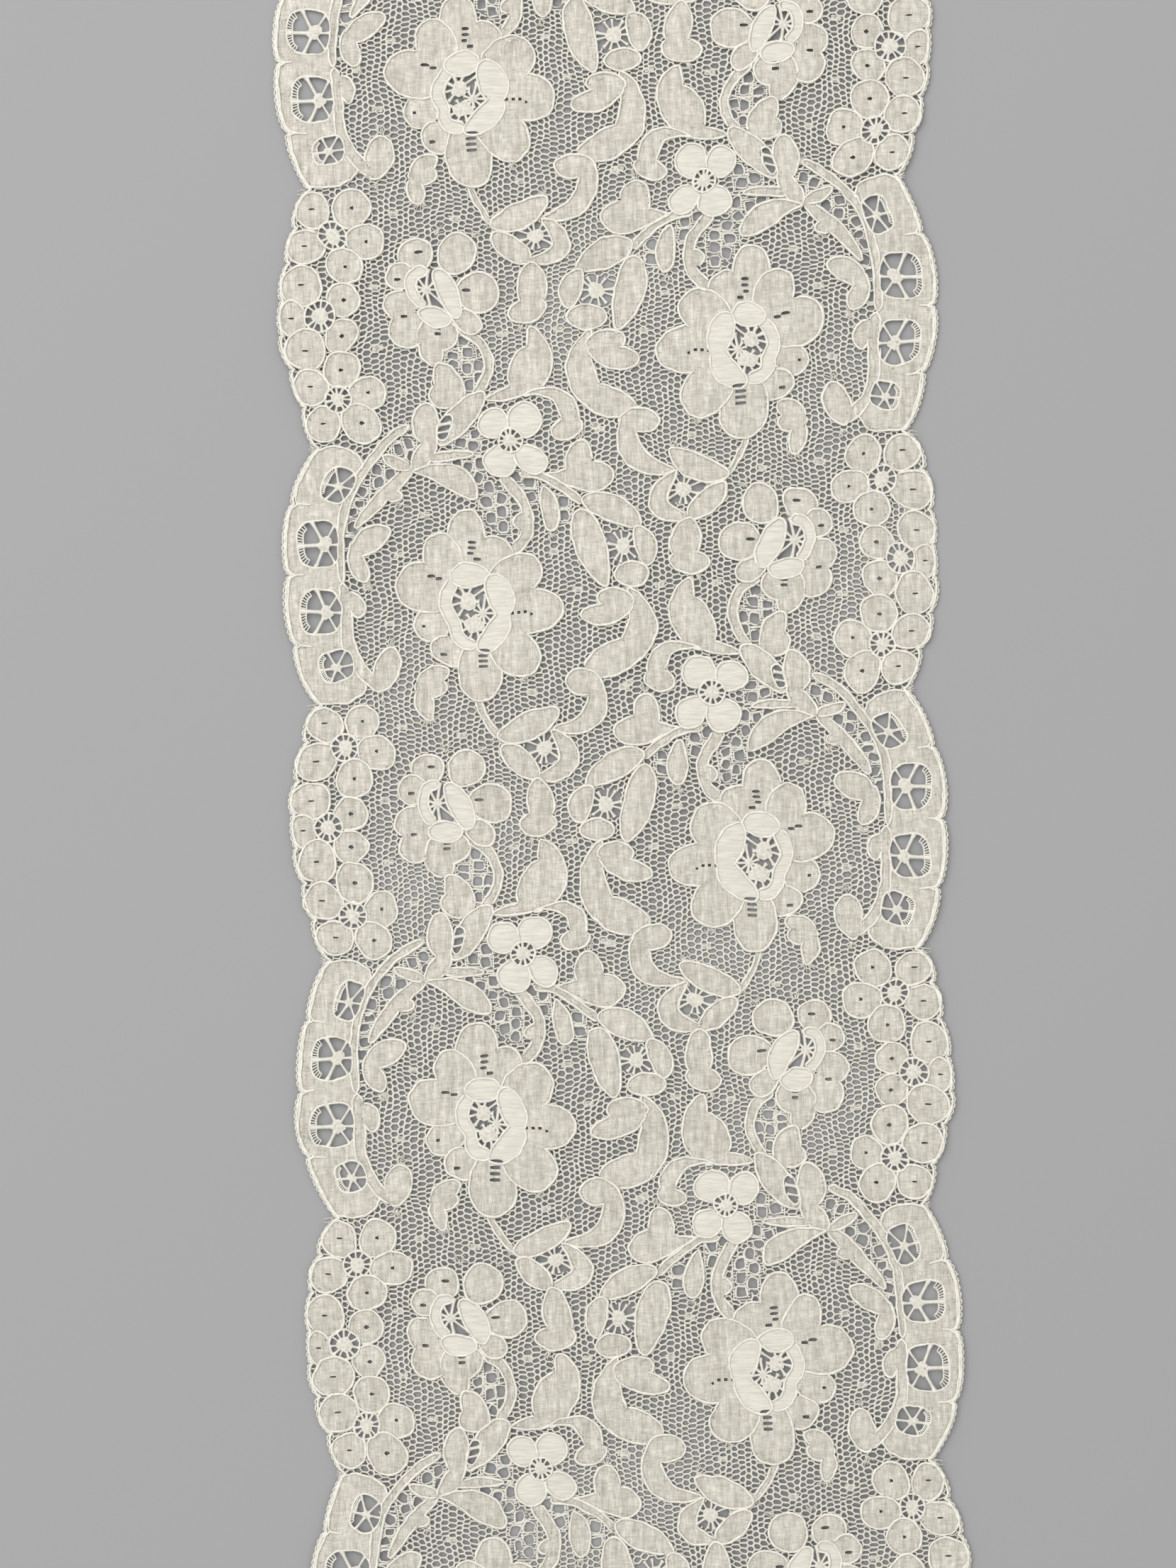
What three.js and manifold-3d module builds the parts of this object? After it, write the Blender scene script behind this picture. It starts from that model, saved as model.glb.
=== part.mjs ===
// A cut length of floral lace galloon in one piece, scalloped along both edges. A flat net sheet carries
// raised flowers and leaves. Spider-filled windows are cut through it along the edge arches and in the
// flower hearts. The pattern is one charted half repeat, and each next one is its mirror image further on.
import * as THREE from 'three';
import { mergeVertices } from 'three/addons/utils/BufferGeometryUtils.js';
import Module from 'manifold-3d';

// Driving dimensions, in millimetres. u runs across from the midline and v along the lace.
const CUT_LENGTH = 228.6;
const HALF_DROP = 35.2;
const CHART_MIDDLE = -14;
const SHEET = 1;
const RELIEF = 0.5;
const SEAT = 0.4;
const BOW = 0.75;
const BOW_MIDDLE = 0.3;
const END_ROUNDNESS = 0.45;
const SHOULDER_WIDTH = 0.4;
const SHOULDER_REACH = 0.92;
const NOTCH_REACH = 0.68;
const LONG_BOW = 0.85;
const SLENDER = 3;
const LONG_SIDE = [0.12, 0.5, 0.88];
const SHORT_SIDE = [0.2, 0.8];
const LOBE_STEPS = 4;
const WINDOW_SQUARENESS = 2.6;
const LEG_WIDTH = 0.55;
const HUB_RADIUS = 0.75;
const MANY_LEGS = 4;
const FIRST_UNIT = -3;
const LAST_UNIT = 4;

// A table's rows as objects, with the column names as keys.
function rows(columns, table) {
  return table.map((row) => Object.fromEntries(columns.map((name, i) => [name, row[i]])));
}

// Flower hearts, on the left half of the first unit.
const FLOWERS = {
  edgeTop: [-37.4, -8.4],
  edgeMiddle: [-39.5, -19.4],
  edgeBottom: [-36.9, -31],
  large: [-20, 10.5],
  small: [-24.5, -16.5],
  four: [-13.4, 33.3],
};

// Petals by flower, in turn: bearing from +u in degrees, distance of the tip from the heart, width.
const PETALS = rows(['flower', 'bearing', 'far', 'width'], [
  ['edgeTop', 52, 7, 5],
  ['edgeTop', 127, 6.7, 4.9],
  ['edgeTop', 202, 6.9, 4.9],
  ['edgeTop', 288, 6.9, 5.2],
  ['edgeTop', 350, 7.3, 4.8],
  ['edgeMiddle', 38, 6.1, 4.7],
  ['edgeMiddle', 121, 7.2, 5.3],
  ['edgeMiddle', 248, 7.6, 5.4],
  ['edgeMiddle', 320, 6.1, 4.7],
  ['edgeBottom', 10, 6.4, 4.8],
  ['edgeBottom', 82, 6.9, 5],
  ['edgeBottom', 152, 6.8, 5.1],
  ['edgeBottom', 237, 6.7, 5.1],
  ['edgeBottom', 308, 7.3, 4.8],
  ['large', 38, 12, 5.8],
  ['large', 88, 13.9, 5.2],
  ['large', 116, 10.8, 5.2],
  ['large', 154, 10.4, 6.4],
  ['large', 204, 7.9, 4.5],
  ['large', 245, 8.4, 5.3],
  ['large', 279, 12.9, 6],
  ['large', 317, 12.7, 6],
  ['large', 356, 13, 6.2],
  ['small', 0, 9.9, 5.3],
  ['small', 52, 8.9, 5.3],
  ['small', 105, 7.8, 5.3],
  ['small', 205, 6.6, 4.2],
  ['small', 240, 8.6, 4.9],
  ['small', 280, 9.2, 5.8],
  ['four', 62, 6.6, 4.6],
  ['four', 127, 6.8, 4.6],
  ['four', 240, 5.9, 4.3],
  ['four', 319, 6.1, 4.3],
]);

// The scalloped edge of one repeat, downwards from a valley: each notch, and the bulge of the lobe below it.
const EDGE = rows(['u', 'v', 'bulge'], [
  [-40.1, 33.1, 0.8],
  [-43.3, 25.2, 1.2],
  [-44.4, 15.4, 1.2],
  [-43.5, 6, 1],
  [-40.3, -2.2, 1.2],
  [-42.5, -7.3, 0.9],
  [-43.7, -12.4, 0.75],
  [-44.4, -17.3, 0.5],
  [-44.4, -22, 0.8],
  [-43.3, -26.7, 0.9],
  [-41.9, -31.8, 0.9],
]);

// Leaves and bands: both ends, bow of the middle line to the left of its run, width, widest place along it.
const LEAVES = rows(['name', 'u0', 'v0', 'u1', 'v1', 'bow', 'width', 'widest'], [
  ['arch stem, upper', -27.4, 35.2, -36.2, 23.4, -1.2, 1.6, 0.4],
  ['arch stem, lower', -36.3, 24.6, -34.2, 1.8, -1.4, 1.8, 0.6],
  ['foot leaf', -32.2, -0.8, -30.8, 5.1, -0.3, 3.7, 0.55],
  ['mitten leaf', -34.6, 15.2, -30.4, 21.8, 0.5, 3.6, 0.5],
  ['crown leaf', -27.2, 29.4, -18.2, 24.9, 0.9, 3.9, 0.6],
  ['hanging leaf', -9.1, 27.1, -8.2, 20.8, 0.2, 2.8, 0.5],
  ['wave band', -14.8, 28.4, -13.6, 18, 2.4, 2, 0.55],
  ['boot toe', -9, 28.8, 0.5, 28.2, -0.2, 4.3, 0.7],
  ['tall leaf', -3.7, 23.4, -1.2, 13.1, -0.2, 4.6, 0.42],
  ['roof leaf', -3.6, 24.9, 4.2, 21.1, 0.5, 3.8, 0.45],
  ['cradle leaf', 3.8, 21, 0.4, 14.2, 2.6, 2.8, 0.55],
  ['heart leaf', -4.4, 9.6, 2.9, 10.8, -0.1, 4.4, 0.5],
  ['crescent', 1.9, 14, 0.8, 2, 2.4, 4.2, 0.6],
  ['crescent toe', 4.2, 5.2, -3.9, 2.2, 0.5, 4.5, 0.5],
  ['comma', -5.6, 1, -8.8, -6.3, 4.3, 3.2, 0.4],
  ['lid leaf', -16, -7.3, -8.1, -3.4, 0.1, 3.3, 0.5],
  ['cup leaf', -9, -6.5, -12.9, -11.6, 4, 2.8, 0.55],
  ['twin leaf', -10.7, -12.7, -11.3, -21.2, 0.2, 4.3, 0.6],
  ['broad leaf', -10.9, -21.7, -12.3, -31.4, 1, 5.6, 0.5],
  ['crook', -12, -31.2, -5.6, -36.3, 3, 2.6, 0.7],
  ['drop', -24.7, 3, -25.7, -4.5, -0.2, 3.9, 0.35],
  ['sepal', -22.6, -26.4, -22.2, -32.7, 0, 4.6, 0.5],
  ['leg, left', -24.2, -31.4, -24.6, -37.6, -0.5, 3.7, 0.5],
  ['leg, right', -17.5, -30.4, -22.8, -37.2, -0.2, 3.3, 0.5],
]);

// Openings: centre, half sizes, tilt in degrees, number of spider legs.
const WINDOWS = rows(['u', 'v', 'halfWidth', 'halfHeight', 'tilt', 'legs'], [
  [-37.2, 27.6, 2.3, 2.2, 30, 4],
  [-40.1, 19.8, 2.6, 3.2, 0, 6],
  [-40.1, 10.6, 2.6, 3.2, 0, 6],
  [-37.9, 3.1, 2.3, 2.1, -15, 4],
  [-19.6, 10.2, 2.4, 3.3, 0, 4],
  [-24.5, -16.3, 1.6, 2.2, 15, 3],
]);

const wasm = await Module();
wasm.setup();

// The sheet lies with a slight bow: its ends stand to the +x side of its middle.
function bowAt(y) {
  return BOW * ((2 * y / CUT_LENGTH) ** 2 - BOW_MIDDLE);
}

// A charted point in the given unit. Odd units are mirrored across the midline.
function place([u, v], unit) {
  const x = unit % 2 === 0 ? u : -u;
  const y = v - unit * HALF_DROP - CHART_MIDDLE;
  return new THREE.Vector2(x + bowAt(y), y);
}

// A point of a leaf's middle line, with its sideways direction. The line is a parabola, bowed at the middle.
function spineAt(leaf, t) {
  const start = new THREE.Vector2(leaf.u0, leaf.v0);
  const end = new THREE.Vector2(leaf.u1, leaf.v1);
  const run = end.clone().sub(start);
  const left = new THREE.Vector2(-run.y, run.x).normalize();
  const control = start.clone().add(end).multiplyScalar(0.5).addScaledVector(left, 2 * leaf.bow);
  const curve = new THREE.QuadraticBezierCurve(start, control, end);
  const tangent = curve.getTangent(t);
  return { point: curve.getPoint(t), side: new THREE.Vector2(-tangent.y, tangent.x) };
}

// Half the width at t along a leaf: a sine arch, skewed to its widest place and rounded at both ends.
function halfWidthAt(leaf, t) {
  const skew = Math.log(0.5) / Math.log(leaf.widest);
  return 0.5 * leaf.width * Math.sin(Math.PI * t ** skew) ** END_ROUNDNESS;
}

// Places along a leaf where its sides have a point. A curved or slender leaf has more than a round one.
function stepsOf(leaf) {
  const run = Math.hypot(leaf.u1 - leaf.u0, leaf.v1 - leaf.v0);
  const isLong = Math.abs(leaf.bow) > LONG_BOW || run > SLENDER * leaf.width;
  return isLong ? LONG_SIDE : SHORT_SIDE;
}

// The outline of a leaf as a ring of points: its start, the left side, its end, and the right side back.
function outlineOf(leaf) {
  const onSide = (t, sign) => {
    const { point, side } = spineAt(leaf, t);
    return point.addScaledVector(side, sign * halfWidthAt(leaf, t)).toArray();
  };
  const left = stepsOf(leaf).map((t) => onSide(t, 1));
  const right = stepsOf(leaf).map((t) => onSide(t, -1)).reverse();
  return [[leaf.u0, leaf.v0], ...left, [leaf.u1, leaf.v1], ...right];
}

// The outline of a flower: for each petal two shoulders near its tip, then the notch before the next petal.
function flowerOutline(flower) {
  const [u, v] = FLOWERS[flower];
  const petals = PETALS.filter((petal) => petal.flower === flower);
  const polar = (degrees, radius) => {
    const angle = THREE.MathUtils.degToRad(degrees);
    return [u + radius * Math.cos(angle), v + radius * Math.sin(angle)];
  };
  return petals.flatMap(({ bearing, far, width }, i) => {
    const next = petals[(i + 1) % petals.length];
    const gap = THREE.MathUtils.euclideanModulo(next.bearing - bearing, 360);
    const shoulder = THREE.MathUtils.radToDeg(Math.atan(SHOULDER_WIDTH * width / far));
    const reach = SHOULDER_REACH * far;
    const notch = polar(bearing + gap / 2, NOTCH_REACH * Math.min(far, next.far));
    return [polar(bearing - shoulder, reach), polar(bearing + shoulder, reach), notch];
  });
}

// A closed solid from a closed surface.
function solidFrom(geometry) {
  geometry.deleteAttribute('normal');
  geometry.deleteAttribute('uv');
  const merged = mergeVertices(geometry);
  const vertProperties = merged.attributes.position.array;
  const triVerts = new Uint32Array(merged.index.array);
  return new wasm.Manifold(new wasm.Mesh({ numProp: 3, vertProperties, triVerts }));
}

// Several solids as one.
function join(solids) {
  return solids.reduce((whole, solid) => whole.add(solid));
}

// A flat plate with the given outline, between two heights.
function plate(points, low, high) {
  const shape = new THREE.Shape(points);
  const geometry = new THREE.ExtrudeGeometry(shape, { depth: high - low, bevelEnabled: false });
  return solidFrom(geometry.translate(0, 0, low));
}

// The gaps between a window's spider legs: from the hub out to the rim, a rounded box by its superellipse.
function windowGaps({ u, v, halfWidth, halfHeight, tilt, legs }, unit) {
  const turn = THREE.MathUtils.degToRad(tilt);
  const rimAt = (angle) => {
    const across = Math.abs(Math.cos(angle)) / halfWidth;
    const along = Math.abs(Math.sin(angle)) / halfHeight;
    return (across ** WINDOW_SQUARENESS + along ** WINDOW_SQUARENESS) ** (-1 / WINDOW_SQUARENESS);
  };
  const corner = (angle, radius) => {
    return place([u + radius * Math.cos(angle + turn), v + radius * Math.sin(angle + turn)], unit);
  };
  const step = 2 * Math.PI / legs;
  return Array.from({ length: legs }, (_, i) => {
    const middle = i * step + step / 2;
    const reach = (legs > MANY_LEGS ? [-1, 1] : [-1, 0, 1]).map((k) => {
      const bare = rimAt(middle + k * step / 2);
      const angle = middle + k * (step / 2 - 0.5 * LEG_WIDTH / bare);
      return corner(angle, rimAt(angle));
    });
    return plate([corner(middle, HUB_RADIUS), ...reach], -SHEET, 2 * SHEET + RELIEF);
  });
}

// The scalloped edge of one repeat: each lobe is a bulged arch between two notches.
function edgeRun(unit) {
  const next = [...EDGE.slice(1), { ...EDGE[0], v: EDGE[0].v - 2 * HALF_DROP }];
  return EDGE.flatMap((notch, i) => Array.from({ length: LOBE_STEPS }, (_, k) => {
    const t = k / LOBE_STEPS;
    const u = THREE.MathUtils.lerp(notch.u, next[i].u, t) - notch.bulge * Math.sqrt(4 * t * (1 - t));
    return place([u, THREE.MathUtils.lerp(notch.v, next[i].v, t)], unit);
  }));
}

// The whole net sheet: down its left edge and up its right.
function sheetPlate() {
  const left = units.filter((unit) => unit % 2 === 0).flatMap(edgeRun);
  const right = units.filter((unit) => unit % 2 !== 0).flatMap(edgeRun).reverse();
  return plate([...left, ...right], 0, SHEET);
}

const units = Array.from({ length: LAST_UNIT - FIRST_UNIT + 1 }, (_, i) => FIRST_UNIT + i);

const motifs = [...Object.keys(FLOWERS).map(flowerOutline), ...LEAVES.map(outlineOf)];
const relief = units.flatMap((unit) => motifs.map((outline) => {
  return plate(outline.map((point) => place(point, unit)), SHEET - SEAT, SHEET + RELIEF);
}));
const gaps = units.flatMap((unit) => WINDOWS.flatMap((row) => windowGaps(row, unit)));
const halfCut = CUT_LENGTH / 2;
const cutBox = plate(
  [[-halfCut, -halfCut], [halfCut, -halfCut], [halfCut, halfCut], [-halfCut, halfCut]]
    .map(([x, y]) => new THREE.Vector2(x, y)),
  -SHEET,
  2 * SHEET + RELIEF,
);
const lace = join([sheetPlate(), ...relief]).subtract(join(gaps)).intersect(cutBox);

// The finished solid as a surface for a mesh.
function geometryFrom(solid) {
  const mesh = solid.getMesh();
  const geometry = new THREE.BufferGeometry();
  geometry.setAttribute('position', new THREE.BufferAttribute(mesh.vertProperties, 3));
  geometry.setIndex(new THREE.BufferAttribute(mesh.triVerts, 1));
  geometry.computeVertexNormals();
  return geometry;
}

const ivoryCotton = new THREE.MeshStandardMaterial({ color: 0xe9e4d3, roughness: 0.85, metalness: 0 });
const laceMesh = new THREE.Mesh(geometryFrom(lace), ivoryCotton);
laceMesh.name = 'lace_galloon';

const galloon = new THREE.Group();
galloon.add(laceMesh);

export default galloon;
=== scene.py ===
# %% [markdown]
# # A length of corded lace galloon
# The real piece is floral lace, woven in one sheet and lying flat, with both edges scalloped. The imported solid
# gives its outline, its thickness and its windows. This lesson works the same sheet again thread by thread: net
# ground, cloth stitch, outlining cords and openwork fillings.
#
# Every thread comes from one chart of half a repeat, in millimetres. In it u runs across from the midline and v
# along the lace. The next half repeat is the mirror image further along, so one chart serves the whole length.

# %% The frame and the sizes of the piece
import math

import bpy
import numpy as np
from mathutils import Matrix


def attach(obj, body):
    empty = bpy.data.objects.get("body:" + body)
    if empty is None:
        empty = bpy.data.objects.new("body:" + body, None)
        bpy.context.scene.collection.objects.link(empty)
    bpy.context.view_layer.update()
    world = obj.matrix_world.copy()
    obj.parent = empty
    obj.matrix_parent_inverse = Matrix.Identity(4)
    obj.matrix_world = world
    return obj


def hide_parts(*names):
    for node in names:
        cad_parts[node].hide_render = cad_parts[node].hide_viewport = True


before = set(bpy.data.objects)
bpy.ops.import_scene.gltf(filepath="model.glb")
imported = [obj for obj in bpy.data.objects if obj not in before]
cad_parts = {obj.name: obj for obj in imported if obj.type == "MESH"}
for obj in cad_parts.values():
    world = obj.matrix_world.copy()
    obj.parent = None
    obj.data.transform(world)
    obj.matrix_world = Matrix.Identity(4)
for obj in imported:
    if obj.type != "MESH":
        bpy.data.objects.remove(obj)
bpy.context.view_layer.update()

MM = 0.001
CUT_LENGTH = 228.6  # a quarter yard, in mm
HALF_DROP = 35.2  # half a repeat
UNITS = range(-3, 5)  # the half repeats that reach the piece
chance = np.random.default_rng(1912)

# %% [markdown]
# ## From the chart to the table
# Two steps take a chart point to its place. First it goes onto a straight strip: odd units are mirrored and each
# unit lies one half drop further along. Then the strip is laid on the table with the slight sideways bow and the
# low ripples that a loose sheet has. Patterns are compared while the strip is still straight and flat, because a
# test in two dimensions is quick and sure.

# %% Placing and laying
CHART_MIDDLE = -14.0  # the v that comes to lie at the middle of the piece
BOW, BOW_MIDDLE = 0.75, 0.3  # sideways bow in mm, and the share of it taken off everywhere
RIPPLE_MIDDLE, RIPPLE_RISE = 0.36, 0.1


def on_strip(points, unit):
    """Chart (u, v) to strip (p, q): p is u or its mirror image, and q is v less the unit's drop, centred."""
    points = np.asarray(points, float)
    side = 1.0 if unit % 2 == 0 else -1.0
    return np.stack([side * points[..., 0], points[..., 1] - unit * HALF_DROP - CHART_MIDDLE], axis=-1)


def ripple(p, q):
    """How far the sheet lifts off the table: a sum of three slow sine waves, from about 0.1 to 0.7 mm."""
    waves = np.sin(0.071 * q + 0.05 * p) + np.sin(0.113 * p - 0.037 * q + 1.3) + np.sin(0.19 * q - 0.12 * p + 4.0)
    return RIPPLE_MIDDLE + RIPPLE_RISE * waves


def pull(p, q):
    """How far handling has drawn the sheet out of true: slow sine waves of about 0.3 mm. The lengthwise ones fade out
    at the cut ends."""
    ends = 1 - np.abs(2 * q / CUT_LENGTH) ** 8
    across = 0.20 * np.sin(0.29 * q + 0.17 * p + 0.4) + 0.14 * np.sin(0.47 * p - 0.21 * q + 2.1)
    along = 0.18 * np.sin(0.33 * p - 0.15 * q + 1.2) + 0.16 * np.sin(0.41 * q + 0.20 * p)
    return across, along * ends


def lay(flat, height):
    """Strip (p, q) to the table, with q held between the cut ends: x is p plus the pull and the bow, a parabola in q;
    y is q plus the pull; z is the ripple plus the height."""
    p, q = flat[..., 0], np.clip(flat[..., 1], -CUT_LENGTH / 2, CUT_LENGTH / 2)
    bow = BOW * ((2 * q / CUT_LENGTH) ** 2 - BOW_MIDDLE)
    across, along = pull(p, q)
    return np.stack([p + across + bow, q + along, ripple(p, q) + height], axis=-1)


print("half repeats on the strip:", len(UNITS))

# %% [markdown]
# ## Outlines of leaves, petals and bands
# A woven leaf is a blade: a bent middle line with a width that swells and closes again. Drawing each one point by
# point would be slow to change, so a blade needs only its two ends, its bend and its width. A winding stem follows
# a smooth curve through a few points, at one width.


# %% Blades, bands and rounded windows
def blade(u0, v0, u1, v1, bow, width, widest=0.5, ends=0.45, count=28):
    """A closed outline. The middle line is a parabola bowed at its middle, and half the width is a sine arch,
    skewed to its widest place and raised to a power below one for rounder ends."""
    t = (1 - np.cos(np.linspace(0, np.pi, count + 1))) / 2
    start, end = np.array([u0, v0]), np.array([u1, v1])
    run = end - start
    control = (start + end) / 2 + 2 * bow * np.array([-run[1], run[0]]) / np.hypot(*run)
    s = t[:, None]
    middle = (1 - s) ** 2 * start + 2 * s * (1 - s) * control + s ** 2 * end
    ahead = (1 - s) * (control - start) + s * (end - control)
    side = np.stack([-ahead[:, 1], ahead[:, 0]], 1) / np.linalg.norm(ahead, axis=1, keepdims=True)
    skew = math.log(0.5) / math.log(widest)
    half = width / 2 * np.clip(np.sin(np.pi * t ** skew), 0, None)[:, None] ** ends
    return np.concatenate([middle + side * half, (middle - side * half)[-2:0:-1]])


def smooth_path(points, steps=8):
    """A curve through the given points: between two of them it is the cubic that keeps its neighbours' slope."""
    p = np.array(points, float)
    q = np.concatenate([[2 * p[0] - p[1]], p, [2 * p[-1] - p[-2]]])
    a, b, c, d = (q[i:len(q) - 3 + i, None] for i in range(4))
    t = (np.arange(steps) / steps)[None, :, None]
    arcs = b + 0.5 * t * (c - a + t * (2 * a - 5 * b + 4 * c - d + t * (3 * b - a - 3 * c + d)))
    return np.concatenate([arcs.reshape(-1, 2), p[-1:]])


def band(width, points):
    """A closed outline at half the width to both sides of a smooth path, rounded off at both ends."""
    middle = smooth_path(points)
    ahead = np.gradient(middle, axis=0)
    side = np.stack([-ahead[:, 1], ahead[:, 0]], 1) / np.linalg.norm(ahead, axis=1, keepdims=True)
    half = width / 2 * np.sqrt(1 - np.abs(np.linspace(-1, 1, len(middle))) ** 16)[:, None]
    return np.concatenate([middle + side * half, (middle - side * half)[-2:0:-1]])


def heading(bearing):
    """The unit step in a direction: cosine and sine of its bearing in radians."""
    return np.stack([np.cos(bearing), np.sin(bearing)], axis=-1)


def rim_radius(angle, half_u, half_v, squareness):
    """Distance from the centre to the rim of a superellipse, a box with round corners."""
    reach = np.abs(np.cos(angle) / half_u) ** squareness + np.abs(np.sin(angle) / half_v) ** squareness
    return reach ** (-1 / squareness)


def rounded(u, v, half_u, half_v, tilt=0.0, squareness=2.6, count=40):
    """The closed outline of a superellipse, turned by its tilt in degrees."""
    angle = np.linspace(0, 2 * np.pi, count, endpoint=False)
    radius = rim_radius(angle, half_u, half_v, squareness)[:, None]
    return np.array([u, v]) + radius * heading(angle + math.radians(tilt))


print("a blade has", len(blade(0, 0, 10, 0, 1, 4)), "points")


# %% Walking along an outline
def walked(line):
    """How far along a line each of its points lies."""
    return np.concatenate([[0], np.cumsum(np.linalg.norm(np.diff(line, axis=0), axis=1))])


def points_at(line, places):
    """The points of a line at the given distances along it."""
    along = walked(line)
    return np.stack([np.interp(places, along, line[:, i]) for i in range(2)], 1)


def even_steps(loop, step):
    """The same closed outline with points at equal steps along it, at least eight."""
    ring = np.concatenate([loop, loop[:1]])
    length = walked(ring)[-1]
    return points_at(ring, np.linspace(0, length, max(8, int(length / step)), endpoint=False))


print("a window 10 mm wide has", len(even_steps(rounded(0, 0, 5, 5), 0.5)), "steps of 0.5 mm")

# %% [markdown]
# ## The chart
# The tables give one half repeat, in millimetres. A flower is a heart with petals around it, each at its own
# bearing. A leaf row names the motif that it belongs to: blades of one motif melt into one outline, and other motifs
# keep a cord between them. Later rows lie on top of earlier ones.

# %% Chart: edge and arches
# notches of the scalloped edge, downwards from a valley: u, v, bulge of the lobe below
EDGE = [(-40.1, 33.1, 0.8), (-43.3, 25.2, 1.2), (-44.4, 15.4, 1.2), (-43.5, 6.0, 1.0), (-40.3, -2.2, 1.2),
        (-42.5, -7.3, 0.9), (-43.7, -12.4, 0.75), (-44.4, -17.3, 0.5), (-44.4, -22.0, 0.8), (-43.3, -26.7, 0.9),
        (-41.9, -31.8, 0.9)]

# inner corners of the four arch lobes, upwards from the lower notch: u, v
ARCH_INNER = [
    [(-41.6, 24.6), (-38.0, 23.9), (-36.6, 24.2), (-35.3, 28.0), (-34.2, 30.4), (-34.6, 31.7), (-36.2, 32.7),
     (-38.4, 33.2)],
    [(-42.6, 14.8), (-39.0, 14.2), (-37.0, 14.2), (-36.8, 20.0), (-36.4, 25.8), (-39.0, 25.9), (-41.6, 25.6)],
    [(-41.6, 5.4), (-38.0, 4.8), (-36.5, 4.8), (-36.8, 11.0), (-37.0, 16.5), (-39.0, 16.5), (-42.6, 15.9)],
    [(-38.2, -2.1), (-36.2, -1.9), (-34.6, -1.0), (-34.0, 0.2), (-34.8, 2.2), (-36.4, 7.2), (-38.0, 7.2),
     (-41.6, 6.5)],
]

# short cords that part the lobes, inwards from the notches: u0, v0, u1, v1
LOBE_VEINS = [(-42.8, 25.2, -40.9, 24.9), (-44.0, 15.4, -42.5, 15.5), (-43.0, 6.0, -41.0, 5.8)]
print("edge notches:", len(EDGE), "arch lobes:", len(ARCH_INNER))

# %% Chart: stems and leaves
# motif, width, points along the middle
STEMS = [
    ("arch stem", 1.1, [(-27.2, 35.5), (-29.8, 34.1), (-32.0, 32.1), (-34.2, 29.3), (-35.6, 26.7), (-36.6, 23.2),
                        (-37.1, 19.2), (-37.1, 14.5)]),
    ("hook", 1.5, [(-36.9, 14.5), (-36.6, 10), (-36.4, 6.5), (-35.4, 3.6), (-33.6, 1.2), (-31.8, -0.2)]),
    ("link", 1.0, [(-12.2, 28.7), (-9.5, 28.5), (-6, 26.5), (-3.4, 24.2)]),
    ("loop band", 1.2, [(-20.3, -21.6), (-18.0, -23), (-16.8, -25.2), (-16.7, -27.4), (-17.5, -29.2),
                        (-18.7, -30.8)]),
    ("wave band", 1.5, [(-14.7, 28.5), (-13, 26.4), (-11.8, 24.3), (-11.6, 22.3), (-12.2, 20.2), (-14, 18.2)]),
    ("tendril", 0.8, [(-18.9, -2), (-18, -4.2), (-16.6, -6.4), (-15.6, -7.4)]),
]

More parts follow.
